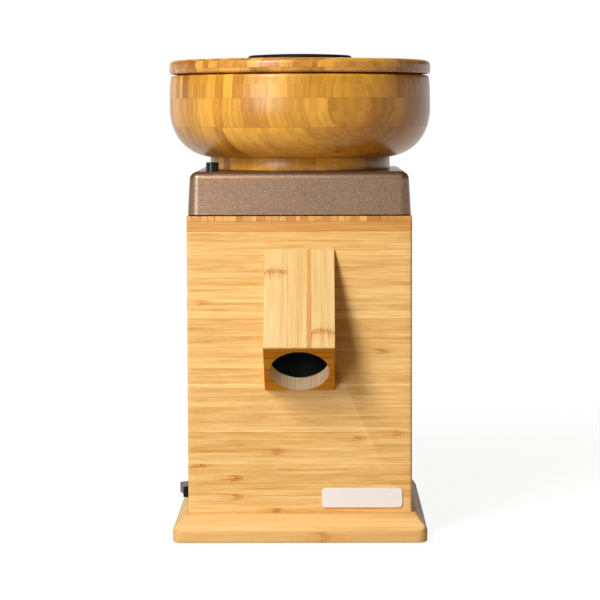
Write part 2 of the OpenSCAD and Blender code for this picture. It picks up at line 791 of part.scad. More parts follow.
module internal_leads() {
    back = [0, -6, 0];                     // straight run behind each blade
    live = inlet_pos + [-7, -24.7, -2];
    neutral = inlet_pos + [7, -24.7, -2];
    earth = inlet_pos + [0, -24.7, 3.4];
    tab = switch_pos + [23.2, 0, 0];
    terminal = [capacitor_pos[0], capacitor_pos[1], base_top + capacitor_h + 6];
    function round_bell(a, r, z) = [r * cos(a), r * sin(a), z];
    over_can = max(fan_z - 12, terminal[2] + 12);   // level at which its two leads cross the capacitor
    function into_bell(a, low = fan_z - 12) = [round_bell(a, motor_r + 6, low),
        for (gap = [6, 0.45]) round_bell(a, motor_r + gap, low_bell_z + bell_h / 2)];
    color("#7A2E24") {
        lead([live, live + back, live + [-5, -14, -10], [14 - in_x, 0, base_top + 8],
            tab + [6, 12, -2], tab + [1.3, 8, 0], tab + [0, 8, 0]], lead_r);
        lead(concat([tab + [0.4, -8, 0], tab + [6, -8, 0],
            [switch_pos[0] + 47.5, -20, base_top + 45]], into_bell(200)), lead_r);
        lead(concat([neutral, neutral + back, neutral + [7, -10, 12]], into_bell(95)), lead_r);
        lead(concat([earth, earth + back, earth + [-2, -10, 16.6]], into_bell(118)), lead_r);
        lead(concat([terminal + [5, 0, 0.3], terminal + [4, 0, 10]], into_bell(35, over_can)), lead_r);
        lead(concat([terminal + [-5, 0, 0.3], terminal + [-5, 0, 12]], into_bell(58, over_can)), lead_r);
    }
}

module run_capacitor() {
    color("#C9C6BF") translate([capacitor_pos[0], capacitor_pos[1], base_top]) union() {
        cylinder(r = capacitor_r, h = capacitor_h);
        for (s = [-1, 1]) translate([s * 5 - 0.4, -3, capacitor_h]) cube([0.8, 6, 6]);
    }
}

// Spring-steel band round the capacitor, its tab flat against the back panel
module capacitor_clip() {
    gap = in_y - capacitor_pos[1];
    color(steel) translate([capacitor_pos[0], capacitor_pos[1], clip_z]) difference() {
        union() {
            cylinder(r = capacitor_r + 1.4, h = clip_h);
            translate([-12, capacitor_r - 2, 0]) cube([24, gap - capacitor_r + 2, clip_h]);
        }
        translate([0, 0, -cut]) cylinder(r = capacitor_r + seat_gap, h = clip_h + 2 * cut);
        translate([-10.6, capacitor_r + 1.6, -cut]) cube([21.2, gap - capacitor_r - 3, clip_h + 2 * cut]);
    }
}

// ---------------------------------------------------------------- motor

module motor_gasket() {
    color("#2A2A2A") translate([0, 0, bell_top]) difference() {
        tube(mount_pcd + 7, mount_pcd - 7, gasket_t);
        in_ring(4, mount_pcd) translate([0, 0, -cut])
            cylinder(r = motor_bolt[0] + seat_gap, h = gasket_t + 2 * cut);
    }
}

module motor_bolts() {
    color(steel) in_ring(4, mount_pcd) translate([0, 0, board_top - motor_bolt[2]]) mirror([0, 0, 1])
        screw(motor_bolt, top_t - motor_bolt[2] + gasket_t + bell_plate - 0.5);
}

// Cast end bell, drawn with its plate down and its open side up
module end_bell(shoulder_r) {
    difference() {
        union() {
            tube(motor_r, motor_r - bell_wall, bell_h);
            cylinder(r = motor_r, h = bell_plate);
            cylinder(r = bearing_boss, h = seat_shoulder + bearing_w);
        }
        translate([0, 0, seat_shoulder]) cylinder(r = bearing_r + run_fit, h = bell_h);
        translate([0, 0, -cut]) cylinder(r = shoulder_r, h = bell_h);
        in_ring(4, bolt_pcd, 45) translate([0, 0, -cut])
            cylinder(r = long_bolt[0] + run_fit, h = bell_h + 2 * cut);
    }
}

module upper_end_bell() {
    color(cast_metal) difference() {
        translate([0, 0, bell_top]) mirror([0, 0, 1]) end_bell(shaft_r + 3);
        in_ring(4, mount_pcd) translate([0, 0, bell_top - bell_plate - cut])
            cylinder(r = motor_bolt[0] + run_fit, h = bell_plate + 2 * cut);
    }
}

module lower_end_bell() {
    color(cast_metal) difference() {
        translate([0, 0, low_bell_z]) end_bell(shaft_r + 3);
        in_ring(8, 31) translate([0, 0, low_bell_z - cut]) cylinder(r = 5, h = bell_plate + 2 * cut);
    }
}

module through_bolts() {
    color(steel) in_ring(4, bolt_pcd, 45) translate([0, 0, low_bell_z])
        screw(long_bolt, bell_h + stack_h + bell_h - 2);
}

module stator_core() {
    color("#6E7073") translate([0, 0, stack_z]) difference() {
        cylinder(r = motor_r, h = stack_h);
        translate([0, 0, -cut]) cylinder(r = rotor_r + 0.4, h = stack_h + 2 * cut);
        in_ring(slots, 0) {
            translate([rotor_r + 2.4, -3, -cut]) cube([slot_r - rotor_r - 2.4, 6, stack_h + 2 * cut]);
            translate([rotor_r - 1, -1, -cut]) cube([5, 2, stack_h + 2 * cut]);
        }
        in_ring(4, bolt_pcd, 45) translate([0, 0, -cut])
            cylinder(r = long_bolt[0] + seat_gap, h = stack_h + 2 * cut);
    }
}

// Copper windings: a bar in each slot, joined by the end turns above and below the stack
module stator_windings() {
    turn_h = 6;
    turn_mid = (rotor_r + 3 + slot_r) / 2;
    turn_w = slot_r - rotor_r - 3.6;
    color("#B4632C") {
        for (z = [stack_z - turn_h / 2, stack_top + turn_h / 2]) translate([0, 0, z])
            rotate_extrude() translate([turn_mid, 0]) rounded_rect(turn_w, turn_h, 2.4);
        in_ring(slots, 0) translate([rotor_r + 2.8, -2.7, stack_z - 1])
            cube([slot_r - rotor_r - 3.2, 5.4, stack_h + 2]);
    }
}

module rotor_core() {
    color("#85878A") translate([0, 0, stack_z]) difference() {
        cylinder(r = rotor_r, h = stack_h);
        translate([0, 0, -cut]) cylinder(r = shaft_r + 0.02, h = stack_h + 2 * cut);
        in_ring(cage_bars, cage_pcd) translate([0, 0, -cut]) cylinder(r = 1.45, h = stack_h + 2 * cut);
    }
}

module rotor_cage() {
    ring_t = 3;
    color("#C4C6C8") translate([0, 0, stack_z]) {
        for (z = [-ring_t, stack_h]) translate([0, 0, z]) tube(rotor_r - 0.6, bearing_boss + 1.5, ring_t);
        in_ring(cage_bars, cage_pcd) translate([0, 0, -0.5]) cylinder(r = 1.4, h = stack_h + 1);
    }
}

module motor_shaft() {
    color(steel) union() {
        translate([0, 0, fan_z - 1]) cylinder(r = shaft_r, h = stone_z - fan_z + 1);
        translate([0, 0, stone_z - cut]) cylinder(r = shaft_r - 1, h = 9.5 + cut);
    }
}

module cooling_fan() {
    disc_t = 2;
    color("#35393C") translate([0, 0, fan_z]) difference() {
        union() {
            translate([0, 0, fan_h - disc_t]) cylinder(r = fan_r, h = disc_t);
            cylinder(r = shaft_r + 5, h = fan_h);
            in_ring(9, 0) translate([shaft_r + 3, -1, 0]) cube([fan_r - shaft_r - 4, 2, fan_h - 1]);
        }
        translate([0, 0, -cut]) cylinder(r = shaft_r + 0.02, h = fan_h + 2 * cut);
    }
}

module at_bearings() {
    for (z = [low_bearing_z, up_bearing_z]) translate([0, 0, z]) children();
}

module ball_groove() {
    translate([0, 0, bearing_w / 2]) rotate_extrude() translate([ball_pcd, 0]) circle(r = ball_r + 0.1);
}

module bearing_outer_races() {
    color("#D5D7D9") at_bearings() difference() {
        tube(bearing_r, ball_pcd + race_step, bearing_w);
        ball_groove();
    }
}

module bearing_inner_races() {
    color("#D5D7D9") at_bearings() difference() {
        tube(ball_pcd - race_step, shaft_r + 0.02, bearing_w);
        ball_groove();
    }
}

// Balls and the riveted cages that space them out
module bearing_balls() {
    color("#E2E4E6") at_bearings() translate([0, 0, bearing_w / 2]) {
        in_ring(8, ball_pcd) sphere(r = ball_r);
        difference() {
            translate([0, 0, -3.5]) tube(ball_pcd + 0.9, ball_pcd - 0.9, 7);
            in_ring(8, ball_pcd - 2) rotate([0, 90, 0]) cylinder(r = ball_r + 0.1, h = 4);
        }
    }
}

// ---------------------------------------------------------------- mill

module milling_chamber() {
    color("#3A3936") difference() {
        union() {
            translate([0, 0, board_top]) cylinder(r = chamber_r, h = floor_t);
            translate([0, 0, board_top])
                tube(chamber_r, chamber_r - chamber_wall, chamber_top - board_top);
            translate([0, 0, floor_z - 0.5]) tube(44, 41, 2);
            intersection() {
                in_ring(4, boss_pcd, 22.5) translate([0, 0, sweep_top + 1.2])
                    cylinder(r = 4.6, h = chamber_top - sweep_top - 1.2);
                translate([0, 0, board_top]) cylinder(r = chamber_r, h = chamber_top);
            }
        }
        translate([0, 0, board_top - cut]) cylinder(r = shaft_r + 7, h = floor_t + 2 * cut);
        translate([0, -chute_top_y, board_top])
            cube([chute_top_w - 2 * chute_wall, chute_top_d - 2 * chute_wall, 3 * floor_t], center = true);
        in_ring(4, chamber_screw_pcd, 45) translate([0, 0, floor_z - mill_screw[2] - 0.2])
            mirror([0, 0, 1]) screw_hole(mill_screw, floor_t);
        in_ring(4, boss_pcd, 22.5) translate([0, 0, sweep_top + 2])
            cylinder(r = mill_screw[0] + run_fit, h = chamber_top);
    }
}

// Screws that hold the chamber to the top board and the collar to the chamber
module chamber_screws() {
    color(steel) {
        in_ring(4, chamber_screw_pcd, 45) translate([0, 0, floor_z - mill_screw[2] - 0.2])
            mirror([0, 0, 1]) screw(mill_screw, 10);
        in_ring(4, boss_pcd, 22.5) translate([0, 0, collar_top - mill_screw[2] - 0.2])
            mirror([0, 0, 1]) screw(mill_screw, 10);
    }
}

module thread_collar() {
    color(cast_metal) difference() {
        translate([0, 0, chamber_top]) tube(chamber_r, collar_r_in, collar_top - chamber_top);
        in_ring(4, boss_pcd, 22.5) translate([0, 0, collar_top - mill_screw[2] - 0.2])
            mirror([0, 0, 1]) screw_hole(mill_screw, 12);
    }
}

module shaft_seal() {
    color("#5A2B22") translate([0, 0, board_top]) tube(shaft_r + 7 - run_fit, shaft_r + run_fit, floor_t);
}

module stone_carrier() {
    color(steel) difference() {
        union() {
            translate([0, 0, carrier_z]) cylinder(r = carrier_r, h = carrier_t);
            translate([0, 0, floor_z + 0.3]) cylinder(r = shaft_r + 6, h = carrier_z - floor_z);
        }
        translate([0, 0, floor_z - cut]) cylinder(r = shaft_r + 0.02, h = stone_z - floor_z + 2 * cut);
    }
}

module carrier_nut() {
    color("#D0B36A") translate([0, 0, stone_z]) difference() {
        cylinder(r = eye_r - 1.4, h = 7, $fn = 6);
        translate([0, 0, -cut]) cylinder(r = shaft_r - 1 + run_fit, h = 7 + 2 * cut);
    }
}

// Millstone with furrows cut in its working face, which is at z = stone_t
module millstone(bore_r) {
    difference() {
        tube(stone_r, bore_r, stone_t);
        in_ring(12, 0) rotate([0, 0, 12]) translate([bore_r - 2, 4, stone_t - 0.8])
            cube([stone_r, 1.6, 2]);
    }
}

module lower_stone() {
    color("#CFC8BA") translate([0, 0, stone_z]) millstone(eye_r);
}

module upper_stone() {
    color("#CFC8BA") translate([0, 0, upper_z + stone_t]) mirror([0, 0, 1]) millstone(feed_r);
}

// Ring bolted round the carrier, with blades that sweep the flour round to the outlet
module sweeper_ring() {
    outer = carrier_r + 2.5;
    color("#8C8F93") translate([0, 0, carrier_z]) union() {
        tube(outer, carrier_r + 0.05, sweep_top - carrier_z);
        in_ring(2, 0) translate([outer - 0.5, -1.5, floor_z + 0.8 - carrier_z])
            cube([chamber_r - chamber_wall - 1 - outer + 0.5, 3, sweep_top - floor_z - 0.8]);
    }
}

// Cup that carries the upper stone; its threaded skirt screws down into the collar
module stone_holder() {
    color(cast_metal) difference() {
        union() {
            translate([0, 0, holder_z]) cylinder(r = sleeve_r, h = holder_t);
            translate([0, 0, sleeve_z]) tube(sleeve_r, sleeve_r - sleeve_wall, holder_top - sleeve_z);
        }
        translate([0, 0, holder_z - cut]) cylinder(r = throat_r - 2, h = holder_t + 2 * cut);
        in_ring(4, holder_screw_pcd) translate([0, 0, holder_z - cut])
            cylinder(r = mill_screw[0] + run_fit, h = holder_t + 2 * cut);
        for (a = [0, 180]) rotate([0, 0, a])
            translate([sleeve_r - key_in - move_gap, -key_w / 2 - move_gap, sleeve_z - cut])
                cube([5, key_w + 2 * move_gap, ring_z - sleeve_z + cut]);
    }
}

module holder_screws() {
    color(steel) in_ring(4, holder_screw_pcd) translate([0, 0, holder_z]) screw(mill_screw, holder_t + 9);
}

// Ring that turns with the holder but stays down; its lug meets the release pin's arm
module stop_ring() {
    inner = sleeve_r + move_gap;
    pin_angle = atan2(pin_y, pin_x);
    color("#9A7B3C") translate([0, 0, stop_z]) union() {
        tube(inner + 5.5, inner, stop_t);
        for (a = [0, 180]) rotate([0, 0, a]) translate([sleeve_r - key_in, -key_w / 2, 0])
            cube([key_in + move_gap + 1, key_w, stop_t]);
        rotate([0, 0, pin_angle + 9]) translate([inner + 3, -2, 0]) cube([lug_r - inner - 3, 4, stop_t]);
    }
}

// ---------------------------------------------------------------- hopper and lid

// Black insert in the throat: a flanged tube with two bars that keep fingers out
module throat_guard() {
    tube_r = throat_r - seat_gap;
    flange_z = ring_top + 6;
    color(dark_plastic) union() {
        translate([0, 0, holder_top]) tube(tube_r, throat_r - 3, flange_z - holder_top + 2);
        translate([0, 0, flange_z]) tube(throat_r + 8, throat_r - 3, 2);
        intersection() {
            for (s = [-1, 1]) translate([s * 4.6 - 1, -tube_r, flange_z]) cube([2, 2 * tube_r, 2]);
            translate([0, 0, flange_z]) cylinder(r = tube_r, h = 2);
        }
    }
}

module hopper_foot() {
    color("#D69A4C") difference() {
        translate([0, 0, ring_z]) cylinder(r = ring_r, h = ring_h);
        translate([0, 0, ring_z - cut]) cylinder(r = sleeve_r + seat_gap, h = holder_top - ring_z + cut);
        translate([0, 0, holder_top - cut]) cylinder(r = throat_r, h = ring_top - holder_top + 2 * cut);
        in_ring(4, holder_screw_pcd) translate([0, 0, holder_top - cut])
            cylinder(r = mill_screw[0] + run_fit, h = ring_top - holder_top + 2 * cut);
    }
}

// Turned bowl: a squarish quarter-oval shoulder, then a wall that leans in a little to the rim
module hopper_bowl() {
    power = 2.3;                           // 2 would be a true oval, more is squarer
    steps = 22;
    flat_r = ring_r - 9.3;                 // where the outer oval starts
    turn_z = ring_top + bowl_turn_h - 0.7;
    lean = 1;
    edge = 1.5;
    inner_r = bowl_r - bowl_wall;
    inner_flat = 50;
    inner_floor = ring_top + 11;
    inner_turn = turn_z + 5;
    function oval(a, rx, rz) = [rx * pow(cos(a), 2 / power), rz * pow(sin(a), 2 / power)];
    outer = [for (i = [0 : steps]) let (p = oval(90 - i * 90 / steps, bowl_r - flat_r, bowl_turn_h))
        if (turn_z - p[1] > ring_top) [flat_r + p[0], turn_z - p[1]]];
    inner = [for (i = [0 : steps])
        let (p = oval(i * 90 / steps, inner_r - inner_flat, inner_turn - inner_floor))
        [inner_flat + p[0], inner_turn - p[1]]];
    start_r = outer[0][0] - 1.5;
    color("#D69A4C") difference() {
        rotate_extrude($fn = 128) polygon(concat(
            [[throat_r, ring_top], [start_r, ring_top]], outer,
            [[bowl_r - lean * 0.3, bowl_top - 10], [bowl_r - lean, bowl_top - edge],
             [bowl_r - lean - edge, bowl_top], [inner_r + 1, bowl_top], [inner_r, bowl_top - 1]],
            inner, [[throat_r + 8.3, ring_top + 8], [throat_r + 8.3, ring_top + 6],
                [throat_r, ring_top + 6]]));
        in_ring(4, holder_screw_pcd) translate([0, 0, ring_top - cut])
            cylinder(r = mill_screw[0] + run_fit, h = 7 + cut);
    }
}

// Lid with a rebate below that drops into the bowl, and a recess above for the grip disc
module lid() {
    steps = 8;
    spigot_r = bowl_r - bowl_wall - 1.2;
    color("#DDA457") rotate_extrude($fn = 128) polygon(concat(
        [[0, bowl_top - 5], [spigot_r, bowl_top - 5], [spigot_r, bowl_top], [lid_r - 1.5, bowl_top],
         [lid_r - 0.4, bowl_top + 0.5], [lid_r, bowl_top + 1.6]],
        [for (i = [0 : steps]) let (a = i * 90 / steps)
            [lid_r - lid_edge_r * (1 - cos(a)), lid_top - lid_edge_r * (1 - sin(a))]],
        [[grip_r - 6, lid_top], [grip_r - 6, lid_top - 2], [0, lid_top - 2]]));
}

module lid_grip() {
    steps = 8;
    edge = 3;
    color("#3A2416") rotate_extrude($fn = 128) polygon(concat(
        [[0, lid_top - 2], [grip_r - 6 - seat_gap, lid_top - 2], [grip_r - 6 - seat_gap, lid_top],
         [grip_r - 0.8, lid_top], [grip_r, lid_top + 0.8]],
        [for (i = [0 : steps]) let (a = i * 90 / steps)
            [grip_r - edge * (1 - cos(a)), lid_top + grip_h - 1.2 - edge * (1 - sin(a))]],
        [for (i = [1 : steps]) [(grip_r - edge) * (1 - i / steps),
            lid_top + grip_h - 1.2 * pow(1 - i / steps, 2)]]));
}

// ---------------------------------------------------------------- hopper release

module release_pin() {
    reach = norm([pin_x, pin_y]) - arm_tip_r;
    top = cap_top + pin_rise;
    color(dark_plastic) translate([pin_x, pin_y, 0]) union() {
        rotate_extrude() polygon([[0, board_top + guide_base + pin_travel],
            [stem_r, board_top + guide_base + pin_travel], [stem_r, pin_flange_z],
            [pin_r + 2, pin_flange_z],
            [pin_r + 2, pin_flange_top], [pin_r, pin_flange_top], [pin_r, top - 0.6], [pin_r - 0.6, top],
            [0, top]]);
        rotate([0, 0, atan2(-pin_y, -pin_x)]) translate([pin_r - 1, -3, pin_flange_z + 0.2])
            cube([reach - pin_r + 1, 6, pin_flange_top - pin_flange_z - 0.4]);
    }
}

// Post on the top board that the pin's stem slides in
module pin_guide() {
    color("#D8D5CC") translate([pin_x, pin_y, board_top]) difference() {
        union() {
            cylinder(r = 7, h = guide_base);
            cylinder(r = 3.9, h = guide_top - board_top);
        }
        translate([0, 0, 1]) cylinder(r = stem_r + run_fit, h = guide_top - board_top);
    }
}

// Coil spring between the guide and the pin's flange, one unbroken wire
module pin_spring() {
    rings_per_turn = 8;
    sides = 6;
    start = board_top + guide_base + wire_r + 0.05;
    rise = pin_flange_z - board_top - guide_base - 2 * wire_r - 0.1;
    rings = spring_turns * rings_per_turn;
    wire_z = [for (i = [0 : rings]) let (t = i / rings) start + rise * t];
    points = [for (i = [0 : rings], k = [0 : sides - 1])
        let (turn = i * 360 / rings_per_turn, a = k * 360 / sides, r = spring_r + wire_r * cos(a))
        [r * cos(turn), r * sin(turn), wire_z[i] + wire_r * sin(a)]];
    skin = [for (i = [0 : rings - 1], k = [0 : sides - 1])
        let (n = (k + 1) % sides, p = i * sides)
        each [[p + k, p + n, p + sides + k], [p + n, p + sides + n, p + sides + k]]];
    ends = [for (k = [1 : sides - 2]) each [[0, k + 1, k],
        [rings * sides, rings * sides + k, rings * sides + k + 1]]];
    color("#C9CBCD") translate([pin_x, pin_y, 0]) polyhedron(points, concat(skin, ends));
}

base_board();
rubber_feet();
foot_screws();
front_panel();
back_panel();
left_panel();
right_panel();
corner_blocks();
case_screws();
top_board();
cap_seal();
cap_shell();
cap_screws();
spout_block();
spout_screws();
chute_liner();
nameplate();
vent_grilles();
power_inlet();
inlet_pins();
trim_screws();
switch_housing();
switch_rocker();
internal_leads();
run_capacitor();
capacitor_clip();
motor_gasket();
motor_bolts();
upper_end_bell();
lower_end_bell();
through_bolts();
stator_core();
stator_windings();
rotor_core();
rotor_cage();
motor_shaft();
cooling_fan();
bearing_outer_races();
bearing_inner_races();
bearing_balls();
milling_chamber();
chamber_screws();
thread_collar();
shaft_seal();
stone_carrier();
carrier_nut();
lower_stone();
sweeper_ring();
upper_stone();
stone_holder();
holder_screws();
stop_ring();
throat_guard();
hopper_foot();
hopper_bowl();
lid();
lid_grip();
release_pin();
pin_spring();
pin_guide();
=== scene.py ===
"""Electric grain mill: bamboo box and base board, bronze cap, turned hopper bowl with lid, spout in front.
Each section below is one piece, or a group of like pieces, in the order the machine is put together.
Lengths are in millimetres until they go into a mesh; the shaft axis is the Z axis and the spout faces -Y."""
import json
import math

import bmesh
import bpy
import numpy as np
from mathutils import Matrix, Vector

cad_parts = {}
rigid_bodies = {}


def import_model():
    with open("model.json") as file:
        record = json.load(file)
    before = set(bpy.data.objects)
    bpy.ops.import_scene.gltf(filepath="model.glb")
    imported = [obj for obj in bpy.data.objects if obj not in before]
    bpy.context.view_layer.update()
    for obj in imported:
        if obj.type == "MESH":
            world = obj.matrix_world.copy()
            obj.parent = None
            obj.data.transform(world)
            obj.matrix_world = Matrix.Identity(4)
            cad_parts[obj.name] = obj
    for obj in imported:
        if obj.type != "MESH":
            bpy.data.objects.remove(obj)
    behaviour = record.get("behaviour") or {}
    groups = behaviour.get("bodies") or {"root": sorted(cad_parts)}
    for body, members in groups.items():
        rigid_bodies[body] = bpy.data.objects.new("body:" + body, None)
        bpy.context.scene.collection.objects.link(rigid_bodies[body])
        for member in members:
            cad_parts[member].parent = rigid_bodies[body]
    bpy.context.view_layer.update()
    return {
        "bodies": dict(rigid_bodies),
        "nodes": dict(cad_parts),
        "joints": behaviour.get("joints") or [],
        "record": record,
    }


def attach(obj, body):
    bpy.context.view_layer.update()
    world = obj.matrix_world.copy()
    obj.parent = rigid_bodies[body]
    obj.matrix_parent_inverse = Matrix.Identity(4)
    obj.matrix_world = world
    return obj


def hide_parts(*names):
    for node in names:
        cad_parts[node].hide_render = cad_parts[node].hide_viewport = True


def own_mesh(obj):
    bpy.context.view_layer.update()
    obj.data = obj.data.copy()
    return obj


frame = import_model()
nodes = frame["nodes"]

# ---- base board
# A single thick board of laminated bamboo, grain left to right. Its top is planed to a wide
# chamfer on four sides, its upright corners are rounded, and the whole board is oiled.


def srgb(r, g, b):
    """Linear colour of a screen colour in 0-255: c/12.92 when dark, else ((c + 0.055)/1.055)^2.4."""
    c = np.array([r, g, b]) / 255
    linear = np.where(c <= 0.04045, c / 12.92, ((c + 0.055) / 1.055) ** 2.4)
    return (*map(float, linear), 1.0)


class Signal:
    """What one output of a shader node carries. Sums and products of signals are Math nodes of its tree."""

    def __init__(self, socket):
        self.socket, self.tree = socket, socket.id_data

    def calc(self, operation, *others, clamp=False):
        """A Math node on this signal and others, or numbers."""
        return add(self.tree, "Math", dict(enumerate((self, *others))), operation=operation, use_clamp=clamp)[0]

    def __add__(self, other):
        return self.calc("ADD", other)

    def __sub__(self, other):
        return self.calc("SUBTRACT", other)

    def __rsub__(self, other):
        return self.calc("MULTIPLY_ADD", -1.0, other)

    def __mul__(self, other):
        return self.calc("MULTIPLY", other)

    def __truediv__(self, other):
        return self.calc("DIVIDE", other)

    def __abs__(self):
        return self.calc("ABSOLUTE")

    def tinted(self, amount, tint):
        """This colour multiplied, in the given amount, by a screen colour."""
        return blend(self.tree, amount, self, srgb(*tint), "MULTIPLY")


class Outputs:
    """The outputs of one shader node as signals, by name or number."""

    def __init__(self, node):
        self.sockets = node.outputs

    def __getitem__(self, key):
        return Signal(self.sockets[key])


def fill(node, sockets):
    """Gives inputs of a node their plain values, or links them to signals and sockets."""
    for key, value in sockets.items():
        value = getattr(value, "socket", value)
        if isinstance(value, bpy.types.NodeSocket):
            node.id_data.links.new(value, node.inputs[key])
        else:
            node.inputs[key].default_value = value
    return node


def add(tree, kind, sockets=None, **settings):
    """Outputs of a new shader node: settings are its properties; each socket gets a value or a signal."""
    made = tree.nodes.new("ShaderNode" + kind)
    for key, value in settings.items():
        setattr(made, key, value)
    return Outputs(fill(made, sockets or {}))


def blend(tree, amount, first, second, kind="MIX"):
    """Colour that is first where amount is 0, and second (by that blend kind) where it is 1."""
    return add(tree, "Mix", {0: amount, 6: first, 7: second}, data_type="RGBA", blend_type=kind)[2]


def ramp(value, low, high, smooth=True, first=0.0, last=1.0):
    """First up to low, last from high on, and an S-curve (or straight line) between; low may be the larger."""
    return add(value.tree, "MapRange", {0: value, 1: low, 2: high, 3: first, 4: last},
               interpolation_type="SMOOTHSTEP" if smooth else "LINEAR")[0]


def vector(x, y, z):
    """Vector of a signal and two more signals or numbers."""
    return add(x.tree, "CombineXYZ", {0: x, 1: y, 2: z})[0]


def split(place):
    """The x, y and z of a vector."""
    return add(place.tree, "SeparateXYZ", {0: place})


def noise_at(place, scale, detail, rough=0.5):
    """Soft noise between 0 and 1."""
    return add(place.tree, "TexNoise", {"Vector": place, "Scale": scale, "Detail": detail, "Roughness": rough})[0]


def bumped(height, depth):
    """Normal of a surface that rises by depth metres where the height signal is 1."""
    return add(height.tree, "Bump", {"Height": height, "Distance": depth, "Strength": 1.0})[0]


def new_group(name, inputs, *values):
    """Empty node group: inputs map a name to its default; it puts out a Color and the named values."""
    kinds = {float: "NodeSocketFloat", tuple: "NodeSocketColor", list: "NodeSocketVector"}
    tree = bpy.data.node_groups.new(name, "ShaderNodeTree")
    for key, value in inputs.items():
        tree.interface.new_socket(key, in_out="INPUT", socket_type=kinds[type(value)]).default_value = value
    tree.interface.new_socket("Color", in_out="OUTPUT", socket_type=kinds[tuple])
    for key in values:
        tree.interface.new_socket(key, in_out="OUTPUT", socket_type=kinds[float])
    return tree, Outputs(tree.nodes.new("NodeGroupInput")), tree.nodes.new("NodeGroupOutput")


def bamboo_group():
    """Laminated bamboo as a solid, in millimetres: X runs along the grain, Y across the glued slats, Z up
    through the layers. A slat is floor(Y / Slat) and a layer floor(Z / Layer), and each slat has its own tone;
    fibres are noise stretched along X; a knuckle crosses a slat once in some of its lengths, floor(X / Length)."""
    tree, given, out = new_group("laminated bamboo", {
        "Place": [0.0, 0.0, 0.0], "Slat": 5.0, "Layer": 1000.0, "Length": 260.0, "Seed": 0.0, "Loose": 1.0,
        "Variety": 0.5, "Fibre": 0.5, "Broad": 1.1, "Fine": 0.7, "Short": 1.0, "Deep": 1.0, "Knuckles": 0.0,
        "Seams": 0.5, "Light": (0.8, 0.5, 0.2, 1.0), "Dark": (0.6, 0.3, 0.1, 1.0)}, "Height", "Fleck")
    x, y, z = split(given["Place"])

    def chance(a, b, c):
        return add(tree, "TexWhiteNoise", {0: vector(a, b, c)}, noise_dimensions="3D")

    z_layers = z / given["Layer"]
    layer = z_layers.calc("FLOOR")
    shift = chance(layer, given["Seed"], 3.7)[0]
    wobble = add(tree, "TexNoise", {"W": y * 0.11, "Scale": 1.0, "Detail": 1.0}, noise_dimensions="1D")[0]
    y_slats = y / given["Slat"] + (shift * 9.3 + wobble * 1.1) * given["Loose"]
    slat = y_slats.calc("FLOOR")
    x_lengths = x / given["Length"] + chance(slat, layer, given["Seed"] + 0.5)[0] * 11.0
    tone = chance(slat, layer, given["Seed"] + 7.5)[0]
    own = chance(x_lengths.calc("FLOOR").calc("MULTIPLY_ADD", 31.7, slat), layer, given["Seed"] + 9.5)[1]
    own = add(tree, "SeparateColor", {0: own})

    def noise(along, across, offset, rough=0.5, strips=False):
        """Noise stretched along X. With strips, each strip 1 / across millimetres wide has its own."""
        sides = [y * across, z * across]
        if strips:
            sides = [side.calc("FLOOR") * 7.3 for side in (sides[0], sides[1] / given["Deep"])]
        return noise_at(vector(x * given["Short"] * along + tone * offset, *sides), 1.0, 2.0, rough)

    broad = noise(0.011, 0.37, 61.0, strips=True)
    streak = noise(0.022, 0.93, 37.0, 0.6, strips=True)
    fine = noise(0.09, 3.4, 83.0, 0.6)
    light = (tone - 0.5) * given["Variety"] + 0.55
    for source, weight in ((broad, given["Broad"]), (streak, 1.0), (fine, given["Fine"])):
        light = light + (source - 0.5) * (given["Fibre"] * weight)
    colour = blend(tree, light.calc("ADD", 0.0, clamp=True), given["Dark"], given["Light"])

    # thin dark vessels that run a little way and stop
    vessel = ramp(noise(0.035, 1.9, 17.0, 0.45), 0.66, 0.76)
    colour = colour.tinted(vessel * (given["Fibre"] * 0.55), (225, 190, 136))

    # knuckle: a short crossing zone, bowed across the slat, dark and speckled with a pale border
    side = y_slats.calc("FRACT") - 0.5
    bow = side * side * (given["Slat"] * 0.6)
    away = (x_lengths.calc("FRACT") - (own[0] * 0.5 + 0.25)) * given["Length"] + bow
    away = abs(away + (noise(0.12, 0.45, 29.0) * 9.0 - 4.5))
    present = own[1].calc("LESS_THAN", given["Knuckles"])
    halo = present * ramp(away, 15.0, 3.0)
    core = present * ramp(away, 5.5, 1.2) * ramp(fine, 0.36, 0.6)
    colour = colour.tinted(halo * 0.5, (240, 215, 175)).tinted(core * 0.85, (196, 152, 92))

    def seam(share, size, width):
        """1 on the glue line between two slats or layers, fading out at width millimetres."""
        inside = share.calc("FRACT")
        return ramp(inside.calc("MINIMUM", 1.0 - inside) * size, width, width * 0.2)

    glue = seam(y_slats, given["Slat"], 0.5) * (ramp(noise(0.016, 0.05, 11.0), 0.35, 0.62) * 0.85 + 0.15)
    glue = glue.calc("MAXIMUM", seam(z_layers, given["Layer"], 0.35))
    fill(out, {"Color": colour.tinted(glue * given["Seams"], (165, 118, 66)), "Fleck": fine,
               "Height": fine * 0.5 + streak * 0.5 - glue * 0.8 - vessel * 0.4})
    return tree


BAMBOO = bamboo_group()


